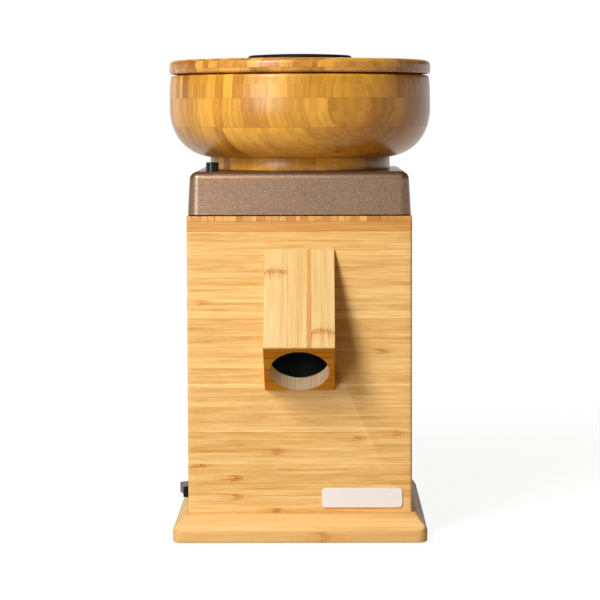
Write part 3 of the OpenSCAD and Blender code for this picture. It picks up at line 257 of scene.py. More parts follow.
def knuckle_group():
    """One knuckle at a stated place along and across the grain, in millimetres: a row of dark specks bowed over
    the slat, short trails down the grain on one side, and a faint shade round both."""
    tree, given, out = new_group("single knuckle", {
        "Place": [0.0, 0.0, 0.0], "Along": 0.0, "Across": 0.0, "Half": 4.0, "Long": 1.0, "Depth": 0.8,
        "Wood": (0.8, 0.5, 0.2, 1.0)})
    x, y, z = split(given["Place"])
    across = (y - given["Across"]) / given["Half"]
    width = ramp(abs(across), 1.04, 0.9)
    flat = vector(x, y, 0.0)
    bowed = across * across * 1.4 + (x - given["Along"]) / given["Long"]
    bowed = bowed + (noise_at(flat, 0.5, 1.0) * 4.0 - 2.0)
    row = ramp(abs(bowed), 2.1, 0.5) * ramp(noise_at(flat, 1.15, 2.0, 0.6), 0.42, 0.56)
    trail = ramp(bowed, -9.0, -1.0) * ramp(bowed, 0.5, -0.5)
    trail = trail * ramp(noise_at(vector(x * 0.03, y, 0.0), 0.9, 1.0), 0.5, 0.62)
    shade = ramp(abs(bowed), 6.0, 0.5) * 0.3
    colour = given["Wood"]
    for mask, tint in ((shade, (236, 204, 150)), (trail, (230, 194, 126)), (row, (206, 160, 84))):
        colour = colour.tinted(mask * width * given["Depth"], tint)
    fill(out, {"Color": colour})
    return tree


KNUCKLE = knuckle_group()


def new_material(name):
    """Empty node material, its tree and its Principled BSDF."""
    made = bpy.data.materials.new(name)
    made.use_nodes = True
    return made, made.node_tree, made.node_tree.nodes["Principled BSDF"]


def object_place(tree, turn=(0.0, 0.0, 0.0), shift=(0.0, 0.0, 0.0)):
    """Object coordinates in millimetres, moved by shift and turned by the angles given in degrees."""
    place = add(tree, "TexCoord")["Object"]
    moved = add(tree, "Mapping", {"Vector": place, "Scale": (1000.0,) * 3, "Location": shift})
    return add(tree, "Mapping", {"Vector": moved[0], "Rotation": [math.radians(a) for a in turn]})[0]


def bamboo(name, turn, light, dark, shift=(0.0, 0.0, 0.0), rough=0.46, coat=0.05, bump=0.00003, specular=0.25,
           knots=(), knot_turn=None, stripes=(), **values):
    """Oiled bamboo: the laminated bamboo group on turned coordinates, under a thin coat. Knots are (along, across,
    half width, length, depth); stripes are darker bands of grain (low, high, depth) across the slats."""
    made, tree, shader = new_material(name)
    place = object_place(tree, turn, shift)
    group = add(tree, "Group", {"Place": place, "Light": srgb(*light), "Dark": srgb(*dark), **values},
                node_tree=BAMBOO)
    colour = group["Color"]
    for low, high, depth in stripes:
        across = split(place)[1]
        band = ramp(across, low - 0.4, low + 0.8) * ramp(across, high + 0.3, high - 0.6)
        colour = colour.tinted(band * depth, (236, 198, 142))
    knot_place = object_place(tree, knot_turn, shift) if knot_turn else place
    for knot in knots:
        sizes = dict(zip(("Along", "Across", "Half", "Long", "Depth"), knot))
        colour = add(tree, "Group", {"Place": knot_place, "Wood": colour, **sizes}, node_tree=KNUCKLE)[0]
    fill(shader, {"Base Color": colour, "Specular IOR Level": specular, "Coat Weight": coat, "Coat Roughness": 0.3,
                  "Roughness": ramp(group["Fleck"], 0.3, 0.7, False, rough + 0.07, rough - 0.05),
                  "Normal": bumped(group["Height"], bump)})
    return made


def outline(corners, radii, inset=0.0, steps=6):
    """Points round a convex polygon (counterclockwise), its edges moved in by inset. A corner is an arc of
    radius (radius - inset), never under 0.02; the arc's centre lies on the corner's bisector."""
    p = np.asarray(corners, float)
    ahead = np.roll(p, -1, 0) - p
    ahead /= np.linalg.norm(ahead, axis=1)[:, None]
    behind = -np.roll(ahead, 1, 0)
    left = np.maximum(np.broadcast_to(np.asarray(radii, float), len(p)) - inset, 0.02)
    bisector = ahead + behind
    bisector /= np.linalg.norm(bisector, axis=1)[:, None]
    half_sine = np.abs(ahead[:, 0] * bisector[:, 1] - ahead[:, 1] * bisector[:, 0])
    centre = p + bisector * ((inset + left) / half_sine)[:, None]
    first = np.arctan2(behind[:, 0], -behind[:, 1])
    last = np.arctan2(-ahead[:, 0], ahead[:, 1])
    sweep = np.mod(last - first, 2 * np.pi)
    angle = first[:, None] + sweep[:, None] * np.linspace(0, 1, steps + 1)
    return (centre[:, None] + left[:, None, None] * np.stack([np.cos(angle), np.sin(angle)], -1)).reshape(-1, 2)


def rectangle(w, d, x=0.0, y=0.0):
    """Four corners of a w by d rectangle round (x, y), counterclockwise from the lower left."""
    return [(x - w / 2, y - d / 2), (x + w / 2, y - d / 2), (x + w / 2, y + d / 2), (x - w / 2, y + d / 2)]


def level(points, z):
    """Plan points (n, 2) at height z, a number or one height for each point."""
    return np.column_stack([points, np.broadcast_to(z, len(points))])


def plan_loops(corners, radius, rows, steps=6):
    """Loops of an upright body: its plan moved in by each row's inset, at that row's height."""
    return [level(outline(corners, radius, inset, steps), z) for inset, z in rows]


def stacked(loops, ends="capped"):
    """Points and faces of a skin that passes through equal closed loops in turn: quads join point k and k + 1 of
    a loop to those of the next. Its ends are capped, joined to each other or left open."""
    loops = [np.asarray(loop, float) for loop in loops]
    rows, count = len(loops), len(loops[0])
    i, k = np.meshgrid(np.arange(rows if ends == "joined" else rows - 1), np.arange(count), indexing="ij")
    n, j = (k + 1) % count, (i + 1) % rows
    faces = list(np.stack([i * count + k, i * count + n, j * count + n, j * count + k], -1).reshape(-1, 4))
    if ends == "capped":
        faces += [np.arange(count)[::-1], np.arange(count) + (rows - 1) * count]
    return np.vstack(loops), faces


def turned(profile, segments=96, closed=False, centre=(0.0, 0.0)):
    """Points and faces of a profile (radius, height) turned about an upright axis through centre; a closed
    profile joins its last point to its first."""
    angle = np.arange(segments) * 2 * np.pi / segments
    ring = np.stack([np.cos(angle), np.sin(angle)], -1)
    return stacked([level(ring * r + centre, z) for r, z in profile], "joined" if closed else "open")


def merged(bodies):
    """One body's points and faces from several."""
    points, faces, start = [], [], 0
    for p, f in bodies:
        points.append(p)
        faces += [np.asarray(face) + start for face in f]
        start += len(p)
    return np.vstack(points), faces


def clean_mesh(name, points, faces):
    """Mesh from points in millimetres and faces: doubled points welded, normals turned outwards."""
    mesh = bpy.data.meshes.new(name)
    mesh.from_pydata(np.asarray(points) / 1000, [], [list(map(int, f)) for f in faces])
    mesh.validate()
    shape = bmesh.new()
    shape.from_mesh(mesh)
    bmesh.ops.remove_doubles(shape, verts=shape.verts, dist=1e-7)
    bmesh.ops.recalc_face_normals(shape, faces=shape.faces)
    shape.to_mesh(mesh)
    shape.free()
    return mesh


def smoothed(mesh, sharp=40.0):
    """Smooth shading across edges that bend by less than the sharp angle, in degrees."""
    mesh.shade_smooth()
    mesh.set_sharp_from_angle(angle=math.radians(sharp))


def linked(name, data):
    """New object of the scene that shows a mesh, lamp or camera."""
    made = bpy.data.objects.new(name, data)
    bpy.context.scene.collection.objects.link(made)
    return made


def new_piece(name, points, faces, material, body, slot, replaced, sharp=40.0):
    """Mesh object that rides on its CAD body and stands for the replaced nodes."""
    mesh = clean_mesh(name, points, faces)
    smoothed(mesh, sharp)
    mesh.materials.append(material)
    piece = linked(name, mesh)
    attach(piece, body)
    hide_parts(*replaced)
    return piece


def cut_away(piece, points, faces):
    """Takes a closed body away from a piece by an exact boolean that is applied at once."""
    tool = linked("cutter", clean_mesh("cutter", points, faces))
    cut = piece.modifiers.new("cut", "BOOLEAN")
    cut.operation, cut.solver, cut.object = "DIFFERENCE", "EXACT", tool
    done = bpy.data.meshes.new_from_object(piece.evaluated_get(bpy.context.evaluated_depsgraph_get()))
    piece.modifiers.clear()
    spare = piece.data, tool.data
    piece.data = done
    done.name = piece.name
    bpy.data.objects.remove(tool)
    for mesh in spare:
        bpy.data.meshes.remove(mesh)
    smoothed(done)


def drilled(piece, places, low, *steps):
    """Cuts a round hole at each place (x, y) of a piece, from height low up: a step is (radius, its top)."""
    profile = [(0.0, low)]
    for radius, top in steps:
        profile += [(radius, profile[-1][1]), (radius, top)]
    profile.append((0.0, profile[-1][1]))
    cut_away(piece, *merged([turned(profile, 48, False, place) for place in places]))


def corners_at(x, y):
    """The four places (+-x, +-y)."""
    return [(sx * x, sy * y) for sx in (-1, 1) for sy in (-1, 1)]


# quarter round from an edge's wall over to its face, as shares of its radius: inset, then drop below the face
EASE = np.array([(1 - math.cos(a), 1 - math.sin(a)) for a in np.radians([0, 22.5, 45, 67.5, 90])])

BASE_W = 198.0
BASE_Z = 1.0
BASE_T = 20.5
BASE_EDGE = 9.7
BASE_CHAMFER = 9.0
BASE_CORNER = 8.0
FEET_AT = corners_at(83.0, 83.0)
CASE_SCREWS_AT = corners_at(68.5, 63.0)


def base_top(points):
    """Height of the board's top: the soft minimum of the flat top and the two sloping chamfers."""
    slope = (BASE_T - BASE_EDGE) / BASE_CHAMFER
    heights = np.stack([np.full(len(points), BASE_T)] + [
        BASE_EDGE + (BASE_W / 2 - np.abs(points[:, axis])) * slope for axis in (0, 1)])
    soft = 0.28
    return BASE_Z - soft * np.log(np.exp(-(heights - BASE_T) / soft).sum(0)) + BASE_T


def base_loops():
    """Loops from the underside over the rounded lower arris, up the edge, then in over the chamfer."""
    square = rectangle(BASE_W, BASE_W)
    arris = [(0.8 * b, BASE_Z + 0.8 * a) for b, a in EASE[::-1]]
    loops = plan_loops(square, BASE_CORNER, [(20, BASE_Z), (2.0, BASE_Z), *arris, (0, BASE_Z + 4)], 8)
    rows = [(0, 0.9), (0.07, 0.5), (0.25, 0.18), (0.55, 0.04)]
    rows += [(inset, 0) for inset in (1.0, 2.5, 4.5, 6.5, 7.8, 8.3, 8.7, 9.0, 9.3, 9.7, 10.2, 11.5, 14.0, 40.0)]
    for inset, drop in rows:
        ring = outline(square, BASE_CORNER, inset, 8)
        loops.append(level(ring, base_top(ring) - drop))
    return loops


base_wood = bamboo("base board bamboo", (0, 0, 0), (246, 210, 146), (212, 154, 78), Slat=19.0, Seed=4.0,
                   Variety=0.3, Fibre=0.6, Seams=0.35, knots=((20.0, 5.0, 4.6, 2.4, 0.6),), knot_turn=(-90, 0, 0))
base = new_piece("base_board_wood", *stacked(base_loops()), base_wood, "case", "bamboo_case", ["base_board"])
drilled(base, FEET_AT, 0.0, (10.2, 7.0), (2.05, 16.5))
drilled(base, CASE_SCREWS_AT, 0.0, (4.4, 4.0), (2.25, 24.0))

# ---- rubber feet
# Four moulded rubber discs let into the underside of the base board, each with a counterbore
# for its screw. Only their last millimetre stands out.


def skin_group():
    """Moulded, cast or painted skin, in millimetres: mottle and grain are two noises, colour is Base darkened
    or lightened by them, and worn spots where a third, larger noise is high turn towards Worn."""
    tree, given, out = new_group("fine skin", {
        "Place": [0.0, 0.0, 0.0], "Grain": 1.5, "Mottle": 0.08, "Along": 1.0, "Wear": 0.1,
        "Base": (0.5, 0.5, 0.5, 1.0), "Worn": (0.7, 0.7, 0.7, 1.0)}, "Height", "Patch")
    x, y, z = split(given["Place"])
    place = vector(x * given["Along"], y, z)
    grain = noise_at(place, given["Grain"], 2.0, 0.6)
    patch = noise_at(place, 0.06, 3.0, 0.6)
    bright = ((grain - 0.5) + (patch - 0.5)) * given["Mottle"] + 1.0
    colour = blend(tree, 1.0, given["Base"], vector(bright, bright, bright), "MULTIPLY")
    worn = ramp(patch, 0.55, 0.75) * given["Wear"]
    fill(out, {"Color": blend(tree, worn, colour, given["Worn"]), "Height": grain, "Patch": patch})
    return tree


SKIN = skin_group()


def skin(name, base, worn, rough, metallic=0.0, grain=1.5, mottle=0.12, along=1.0, wear=0.15, bump=0.00002,
         specular=0.5):
    """Plastic, rubber or metal: the fine skin group feeds colour, roughness and bump."""
    made, tree, shader = new_material(name)
    group = add(tree, "Group", {"Place": object_place(tree), "Grain": grain, "Mottle": mottle, "Along": along,
                                "Wear": wear, "Base": srgb(*base), "Worn": srgb(*worn)}, node_tree=SKIN)
    fill(shader, {"Base Color": group["Color"], "Metallic": metallic, "Specular IOR Level": specular,
                  "Roughness": ramp(group["Patch"], 0.3, 0.7, False, rough - 0.05, rough + 0.07),
                  "Normal": bumped(group["Height"], bump)})
    return made


black_rubber = skin("moulded rubber", (38, 37, 36), (66, 63, 60), 0.72, grain=2.2, mottle=0.3, wear=0.5)
FOOT_R = 10.0
FOOT_H = 7.0
foot_profile = [(2.1, FOOT_H), (FOOT_R - 0.4, FOOT_H), (FOOT_R, FOOT_H - 0.4)]
foot_profile += [(FOOT_R - 0.7 * b, 0.7 * a) for b, a in EASE]
foot_profile += [(4.7, 0), (4.3, 0.3), (4.2, 3.2), (2.1, 3.2)]
feet = [turned(foot_profile, 48, True, place) for place in FEET_AT]
new_piece("rubber_feet_moulded", *merged(feet), black_rubber, "case", "black_rubber", ["rubber_feet"])

# ---- box panels
# Four boards of side-pressed bamboo glued round the motor. Slats a few millimetres wide run level
# all round; the front and back boards cover the ends of the side boards and have rounded upright edges.


def eased(t, ease):
    """How far a face has dropped at distance t inside its edge: a quarter round of radius ease, flat beyond."""
    s = np.clip(1 - t / max(ease, 1e-9), 0, 1)
    return ease * (1 - np.sqrt(1 - s * s))


def board(w, h, t, ease_sides, ease_ends, holes=()):
    """Points (across, out, up) and faces of an upright board centred on across = 0, up = 0, its outer face at
    out = 0 and its inner one at out = -t. The outer face drops by the eased amounts along its edges. Holes are
    (left, right, low, high), right through; their walls join the two faces."""
    def lines(size, ease, cuts):
        near = [0, 0.08, 0.3, 0.65, 1.0]
        marks = [-size / 2 + ease * n for n in near] + [size / 2 - ease * n for n in near]
        marks += [-size / 2 + 3 * ease + 0.6, size / 2 - 3 * ease - 0.6, *cuts]
        return np.unique(np.round(marks, 4))

    xs = lines(w, ease_sides, [v for hole in holes for v in hole[:2]])
    zs = lines(h, ease_ends, [v for hole in holes for v in hole[2:]])
    x, z = np.meshgrid(xs, zs, indexing="ij")
    drop = eased(w / 2 - np.abs(x), ease_sides) + eased(h / 2 - np.abs(z), ease_ends)
    back = eased(w / 2 - np.abs(x), 0.3) + eased(h / 2 - np.abs(z), 0.3)
    outer = np.stack([x, -drop, z], -1).reshape(-1, 3)
    inner = np.stack([x, back - t, z], -1).reshape(-1, 3)
    columns, rows = len(xs), len(zs)
    index = np.arange(columns * rows).reshape(columns, rows)
    solid = np.ones((columns - 1, rows - 1), bool)
    mid_x, mid_z = (xs[:-1] + xs[1:]) / 2, (zs[:-1] + zs[1:]) / 2
    for left, right, low, high in holes:
        solid &= ~np.outer((mid_x > left) & (mid_x < right), (mid_z > low) & (mid_z < high))
    quads = np.stack([index[:-1, :-1], index[1:, :-1], index[1:, 1:], index[:-1, 1:]], -1)[solid]
    shift = columns * rows
    faces = [*quads, *(quads[:, ::-1] + shift)]
    padded = np.pad(solid, 1)
    for edge, over, up in ((padded[1:, 1:-1] != padded[:-1, 1:-1], 0, 1),
                           (padded[1:-1, 1:] != padded[1:-1, :-1], 1, 0)):
        i, j = np.nonzero(edge)
        a, b = index[i, j], index[i + over, j + up]
        faces += list(np.stack([a, b, b + shift, a + shift], -1))
    return np.vstack([outer, inner]), faces


def stood(body, side, across, out, up):
    """A body of points (across, out, up), moved by those lengths and carried to a side of the box: front and
    back lie along X, left and right along Y."""
    a, o, u = body[0].T + np.array([[across], [out], [up]])
    x, y = {"front": (a, -o), "back": (-a, o), "left": (-o, -a), "right": (o, a)}[side]
    return np.column_stack([x, y, u]), body[1]


PANEL_H = 220.0
PANEL_T = 12.0
PANEL_MID = BASE_Z + BASE_T + PANEL_H / 2
BOX_W = 175.0
BOX_D = 164.0
FACE_Y = BOX_D / 2
SIDE_D = BOX_D - 2 * PANEL_T
VENTS_Z = (113.9, 206.3)
INLET_X = 40.0
INLET_Z = 55.5
panel_wood = {"light": (248, 210, 144), "dark": (200, 144, 60), "Length": 330.0, "Variety": 0.35, "Fibre": 1.05,
              "Seams": 0.15}
front_wood = bamboo("front board bamboo", (-90, 0, 0), **panel_wood, Seed=11.0, Knuckles=0.04,
                    knots=((-48.0, 48.5, 2.6, 2.8, 1.0), (-48.0, 33.6, 2.6, 2.8, 0.9), (-76.0, 58.5, 1.6, 3.6, 1.0),
                           (-16.0, 69.5, 2.6, 2.8, 0.8), (48.0, 80.0, 2.2, 3.0, 0.7), (78.0, 84.0, 2.4, 3.0, 0.7),
                           (-74.0, 186.0, 2.4, 3.0, 0.6), (66.0, 148.0, 2.4, 3.0, 0.7)))
side_wood = bamboo("side board bamboo", (-90, 90, 0), **panel_wood, Seed=23.0, Knuckles=0.2)
back_holes = [(-36.0, 36.0, z - PANEL_MID - 13.0, z - PANEL_MID + 13.0) for z in VENTS_Z]
back_holes.append((INLET_X - 13.8, INLET_X + 13.8, INLET_Z - PANEL_MID - 9.8, INLET_Z - PANEL_MID + 9.8))
switch_hole = (13.8, 38.2, -106.6, -94.6)
for side, wood, size, out, ease, holes in (
        ("front", front_wood, BOX_W, FACE_Y, 2.0, ()),
        ("back", front_wood, BOX_W, FACE_Y, 2.0, back_holes),
        ("left", side_wood, SIDE_D - 0.04, BOX_W / 2, 0.35, [switch_hole]),
        ("right", side_wood, SIDE_D - 0.04, BOX_W / 2, 0.35, ())):
    panel = stood(board(size, PANEL_H, PANEL_T, ease, 0.45, holes), side, 0.0, out, PANEL_MID)
    new_piece(side + "_board", *panel, wood, "case", "bamboo_case", [side + "_panel"])

# ---- top board
# Closes the box. Two plies are seen at its edge: the upper one shows the cut ends of its slats,
# the lower one runs level like the front board.
TOP_Z = 241.5
TOP_T = 12.0
TOP_PLY = 4.0


def top_board_wood():
    """Two bamboo groups side by side, chosen by height: the upper ply has its grain front to back."""
    made, tree, shader = new_material("top board bamboo")
    tones = {"Light": srgb(222, 168, 90), "Dark": srgb(184, 120, 46), "Seams": 0.6}
    lower = {"Place": object_place(tree, (-90, 0, 0)), "Slat": 30.0, "Seed": 31.0, "Variety": 0.2, "Fibre": 0.8}
    upper = {"Place": object_place(tree, (0, 0, 90)), "Slat": 5.6, "Seed": 37.0, "Variety": 1.2, "Fibre": 0.7}
    lower = add(tree, "Group", {**tones, **lower}, node_tree=BAMBOO)
    upper = add(tree, "Group", {**tones, **upper}, node_tree=BAMBOO)
    height = split(object_place(tree))[2] - (TOP_Z + TOP_T - TOP_PLY)
    colour = blend(tree, ramp(height, -0.05, 0.05), lower["Color"], upper["Color"])
    colour = colour.tinted(ramp(abs(height), 0.3, 0.05) * 0.5, (140, 90, 45))
    fill(shader, {"Base Color": colour, "Roughness": 0.48, "Normal": bumped(lower["Height"], 0.00003)})
    return made


def rounded(low, high, ease):
    """Rows (inset, height) between two heights, with quarter rounds of radius ease."""
    return [(ease * b, low + ease * a) for b, a in EASE[::-1]] + [(ease * b, high - ease * a) for b, a in EASE]


slab = [(3.5, TOP_Z + 0.02), *rounded(TOP_Z + 0.02, TOP_Z + TOP_T, 0.35), (3.5, TOP_Z + TOP_T)]
top_board = new_piece("top_board_wood", *stacked(plan_loops(rectangle(BOX_W, BOX_D), 2.0, slab)), top_board_wood(),
                      "case", "bamboo_case", ["top_board"])
drilled(top_board, [(0.0, 0.0)], TOP_Z - 3, (11.0, TOP_Z + 15))

# ---- cap
# A drawn metal cap with a little draft, rounded corners and a wide fillet round its top, painted in
# bronze metallic. It stands on a recessed seal strip coloured near black, which shows as a dark line
# above the top board: the black is painted shade of that gap.
CAP_W = 174.0
CAP_D = 163.0
CAP_Z = 254.5
CAP_TOP = 288.0
CAP_DRAFT = 1.5
CAP_FILLET = 6.5
CAP_CORNER = 9.0
CAP_WALL = 3.0
CAP_HOLE_R = 66.0
PIN_AT = (-68.0, -66.0)


def cap_loops():
    """Loops from the foot up the drafted wall, over the fillet, in to the round hole, through it and back
    down inside: wall inset = draft * height share; fillet point = its centre + radius * (sine, cosine)."""
    corners = rectangle(CAP_W, CAP_D)
    shoulder = CAP_TOP - CAP_FILLET
    rows = [(0.5, CAP_Z), (0.15, CAP_Z), (0.0, CAP_Z + 0.2)]
    rows += [(CAP_DRAFT * s, CAP_Z + (shoulder - CAP_Z) * s) for s in (0.1, 0.5, 0.9, 1.0)]
    rows += [(CAP_DRAFT + CAP_FILLET * (1 - math.cos(a)), shoulder + CAP_FILLET * math.sin(a))
             for a in np.radians(np.linspace(0, 90, 13)[1:])]
    rows.append((CAP_DRAFT + CAP_FILLET + 1.0, CAP_TOP))
    way = outline(corners, CAP_CORNER, 0, 12)
    way /= np.linalg.norm(way, axis=1)[:, None]
    hole = [level(way * r, CAP_TOP - drop)
            for r, drop in ((CAP_HOLE_R + 0.3, 0), (CAP_HOLE_R, 0.3), (CAP_HOLE_R, CAP_WALL))]
    inside = [(CAP_DRAFT + CAP_WALL, CAP_TOP - CAP_WALL), (CAP_DRAFT + CAP_WALL, CAP_Z)]
    return plan_loops(corners, CAP_CORNER, rows, 12) + hole + plan_loops(corners, CAP_CORNER, inside, 12)


def bronze_paint():
    """Bronze paint with metal flakes: cells a third of a millimetre across get their own brightness and tilt,
    under a clear coat; a slow noise varies the depth of colour."""
    made, tree, shader = new_material("bronze metallic paint")
    place = object_place(tree)
    cell = add(tree, "TexVoronoi", {"Vector": place, "Scale": 3.4}, feature="F1")["Color"]
    cell = add(tree, "SeparateColor", {0: cell})
    light = cell[0] * 0.6 + noise_at(place, 0.9, 2.0) * 0.35
    colour = blend(tree, ramp(light, 0.1, 0.9, False), srgb(104, 80, 61), srgb(170, 139, 113))
    colour = colour.tinted(noise_at(place, 0.03, 2.0) * 0.25, (220, 205, 195))
    colour = blend(tree, ramp(cell[1], 0.93, 0.98) * 0.4, colour, srgb(246, 226, 205))
    fill(shader, {"Base Color": colour, "Roughness": ramp(cell[2], 0.0, 1.0, False, 0.4, 0.5),
                  "Normal": bumped(light, 0.00002), "Metallic": 0.9, "Coat Weight": 0.35, "Coat Roughness": 0.12})
    return made


cap = new_piece("cap_painted", *stacked(cap_loops(), "joined"), bronze_paint(), "case", "cap_paint", ["cap_shell"])
drilled(cap, [PIN_AT], CAP_TOP - 5, (5.3, CAP_TOP + 3))

# ---- spout block
# Three bamboo slats glued side by side and sawn to a wedge, its grain running down the slope. The
# mouth is bored straight up through the lower face and the bore's wall is left raw, its colour
# pushed near white as painted light.
SPOUT_W = 54.7
SPOUT_LOW = 117.7
SPOUT_HIGH = 229.8
SPOUT_LIP = (-133.0, 156.9)
SLOPE_TURN = 125.0
MOUTH_R = 23.0
MOUTH_Y = -105.2
RIM_WALL = 10.0
UNDER_SLOPE = 0.7686
FUNNEL_Z = 176.0


def spout_loops():
    """Loops of the wedge: its side outline (y, z) carried from one side to the other, with eased arrises."""
    corners = [(-FACE_Y, SPOUT_LOW), (-FACE_Y, SPOUT_HIGH), SPOUT_LIP]
    half = SPOUT_W / 2
    loops = []
    for inset, x in [(3.0, -half), *rounded(-half, half, 0.8), (3.0, half)]:
        side = outline(corners, [0.15, 0.9, 1.5], inset, 5)
        loops.append(np.column_stack([np.full(len(side), x), side]))
    return loops


def funnel_loops(grow, cutter=False):
    """Loops of the way up through the spout: a round bore to the rim (only in the cutter), then a smooth change
    from the bore's circle to the chute's rounded rectangle, each wall moved out by grow. Share s goes from 0 at
    the rim to 1 at the funnel's top; the loop is the circle's points times (1 - s) plus the rectangle's times s."""
    turn = np.radians(np.arange(64) * 360 / 64)
    way = np.stack([np.cos(turn), np.sin(turn)], -1)
    circle = way * (MOUTH_R + min(grow, 0)) + (0, MOUTH_Y)
    rim = SPOUT_LOW + RIM_WALL + (-FACE_Y - circle[:, 1]) * UNDER_SLOPE

    def duct(z):
        half, front, rear = 19 - 0.03524 * (z - 140), -110 + 0.4053 * (z - 140), -86 + 0.29956 * (z - 140)
        reach = np.array([half + grow, (rear - front) / 2 + grow])
        power = 6.0
        size = (np.abs(way[:, 0] / reach[0]) ** power + np.abs(way[:, 1] / reach[1]) ** power) ** (-1 / power)
        return way * size[:, None] + (0, (front + rear) / 2)

    loops = [level(circle, 100.0)] if cutter else []
    for s in np.linspace(0, 1, 9):
        soft = s * s * (3 - 2 * s)
        loops.append(level(circle * (1 - soft) + duct(FUNNEL_Z) * soft, rim + (FUNNEL_Z - rim) * s))
    return loops + [level(duct(z), z) for z in (195.0, 215.0, 235.0, 256.0 if cutter else 253.5)]


spout_wood = bamboo("spout bamboo", (SLOPE_TURN, 0, 90), (232, 203, 144), (200, 155, 88), (27.3, 0, 0), Slat=18.2,
                    Seed=53.0, Loose=0.0, Variety=0.16, Fibre=0.8, Seams=0.4,
                    knots=((119.5, 9.1, 9.3, 1.2, 0.9), (67.0, 45.5, 9.3, 1.4, 1.0)),
                    stripes=((33.0, 36.6, 0.75), (25.5, 27.5, 0.3), (28.2, 29.4, 0.3)))
under_wood = bamboo("spout underside bamboo", (-38, 0, 0), (228, 166, 58), (174, 106, 14), rough=0.7, coat=0.0,
                    specular=0.05, Slat=5.2, Seed=59.0, Variety=0.6, Fibre=0.7, Seams=0.6)
# bore wall: raw wood, its colour raised near white as painted light inside the mouth
raw_bore_wood_painted_light = bamboo("raw bore bamboo with painted light", (90, 0, 90), (255, 243, 218), (250, 214, 172), rough=0.8, coat=0.0,
                  bump=0.0002, Slat=2.6, Seed=61.0, Seams=0.3)
spout = new_piece("spout_wood", *stacked(spout_loops()), spout_wood, "case", "bamboo_case", ["spout_block"])
spout.data.materials.append(under_wood)
spout.data.materials.append(raw_bore_wood_painted_light)
for piece in (spout, bpy.data.objects["front_board"], top_board):
    cut_away(piece, *stacked(funnel_loops(0.25, True)))
for face in spout.data.polygons:
    centre = face.center * 1000
    bored = math.hypot(centre.x, centre.y - MOUTH_Y) < MOUTH_R + 0.5 and abs(face.normal.z) < 0.3
    under = face.normal.z < -0.5 and face.normal.y < -0.3
    face.material_index = 2 if bored and abs(centre.x) < MOUTH_R else 1 if under else 0

# ---- chute liner
# One black plastic funnel pushed up the spout: it starts as a round edge behind the wooden rim and
# narrows to the flat duct that comes down from the mill chamber.
black_plastic = skin("black plastic", (10, 10, 10), (27, 26, 25), 0.42, specular=0.25, grain=2.5, mottle=0.3,
                     wear=0.25)
chute_plastic = skin("black chute plastic", (2, 2, 2), (5, 5, 5), 0.6, specular=0.1, grain=0.8, mottle=0.3,
                     wear=0.2)
outside = funnel_loops(-0.1)
inside = funnel_loops(-1.9)
inside[0][:, 2] = outside[0][:, 2]
new_piece("chute_funnel", *stacked(outside + inside[::-1], "joined"), chute_plastic, "case", "black_plastic",
          ["chute_liner"])

# ---- nameplate
# A thin satin metal plate with rounded corners stuck low on the front board, left bare.
# Its outer arris is rounded all round.


def upright_loops(rows, steps=6):
    """Loops (across, out, up) of a piece on an upright face; a row is (corners, radius, inset, out)."""
    loops = []
    for corners, radius, inset, out in rows:
        p = outline(corners, radius, inset, steps)
        loops.append(np.column_stack([p[:, 0], np.full(len(p), out), p[:, 1]]))
    return loops


def flange(corners, radius, thick, ease):
    """Rows from behind a flange to its face, over an arris rounded by ease."""
    return [(corners, radius, 0.0, 0.0)] + [(corners, radius, ease * b, thick - ease * a) for b, a in EASE]


PLATE_T = 1.2
plate_shape = rectangle(62.8, 15.2)
plate_metal = skin("satin plate", (236, 231, 230), (218, 213, 211), 0.36, 0.25, grain=1.2,
                   mottle=0.05, along=0.05, wear=0.2)
plate = stacked(upright_loops(flange(plate_shape, 3.0, PLATE_T, 0.4) + [(plate_shape, 3.0, 1.2, PLATE_T)], 8))
new_piece("nameplate_bare", *stood(plate, "front", 48.6, FACE_Y, 33.0), plate_metal, "case", "plate_metal",
          ["nameplate"])

# ---- switch
# A black rocker in a black frame let into the left side board. The rocker's outer face has a
# shallow valley; it is shown with its front end out.


def framed_socket(frame, frame_radius, hole, hole_radius, thick, deep):
    """Body of a flange round a blind socket: from behind the flange, round its eased arris, in to the opening
    and down the socket's walls to its floor."""
    rows = flange(frame, frame_radius, thick, 0.4) + [(frame, frame_radius, 0.8, thick)]
    rows += [(hole, hole_radius, inset, out) for inset, out in (
        (-0.25, thick), (0.0, thick - 0.25), (0.0, thick - deep))]
    return stacked(upright_loops(rows))


def turned_plan(points, angle):
    """Plan points turned counterclockwise by an angle."""
    return points @ np.array([[math.cos(angle), math.sin(angle)], [-math.sin(angle), math.cos(angle)]])


def rocker_loops():
    """Loops stacked upwards: the plan outline is a straight-backed lens whose outer side is a shallow
    valley, depth 1.5 * (1 - (y/11)^2); half height is 5.1 at the root and 4.1 at the outer face."""
    y = np.linspace(-11, 11, 25)
    face = -9.5 + 1.5 * (1 - (y / 11) ** 2)
    back = np.array([(-1.0, 11.0), (4.0, 5.0), (4.0, -5.0), (-1.0, -11.0)])
    plan = np.vstack([np.column_stack([face, y]), back])
    half = np.interp(-plan[:, 0], [3.1, 9.5], [5.1, 4.1])
    middle = np.array([-3.0, 0.0])
    return [level(middle + (plan - middle) * shrink, half * t) for t, shrink in (
        (-1, 0.97), (-0.985, 0.985), (-0.95, 0.996), (-0.88, 1), (0, 1), (0.88, 1), (0.95, 0.996), (0.985, 0.985),
        (1, 0.97))]


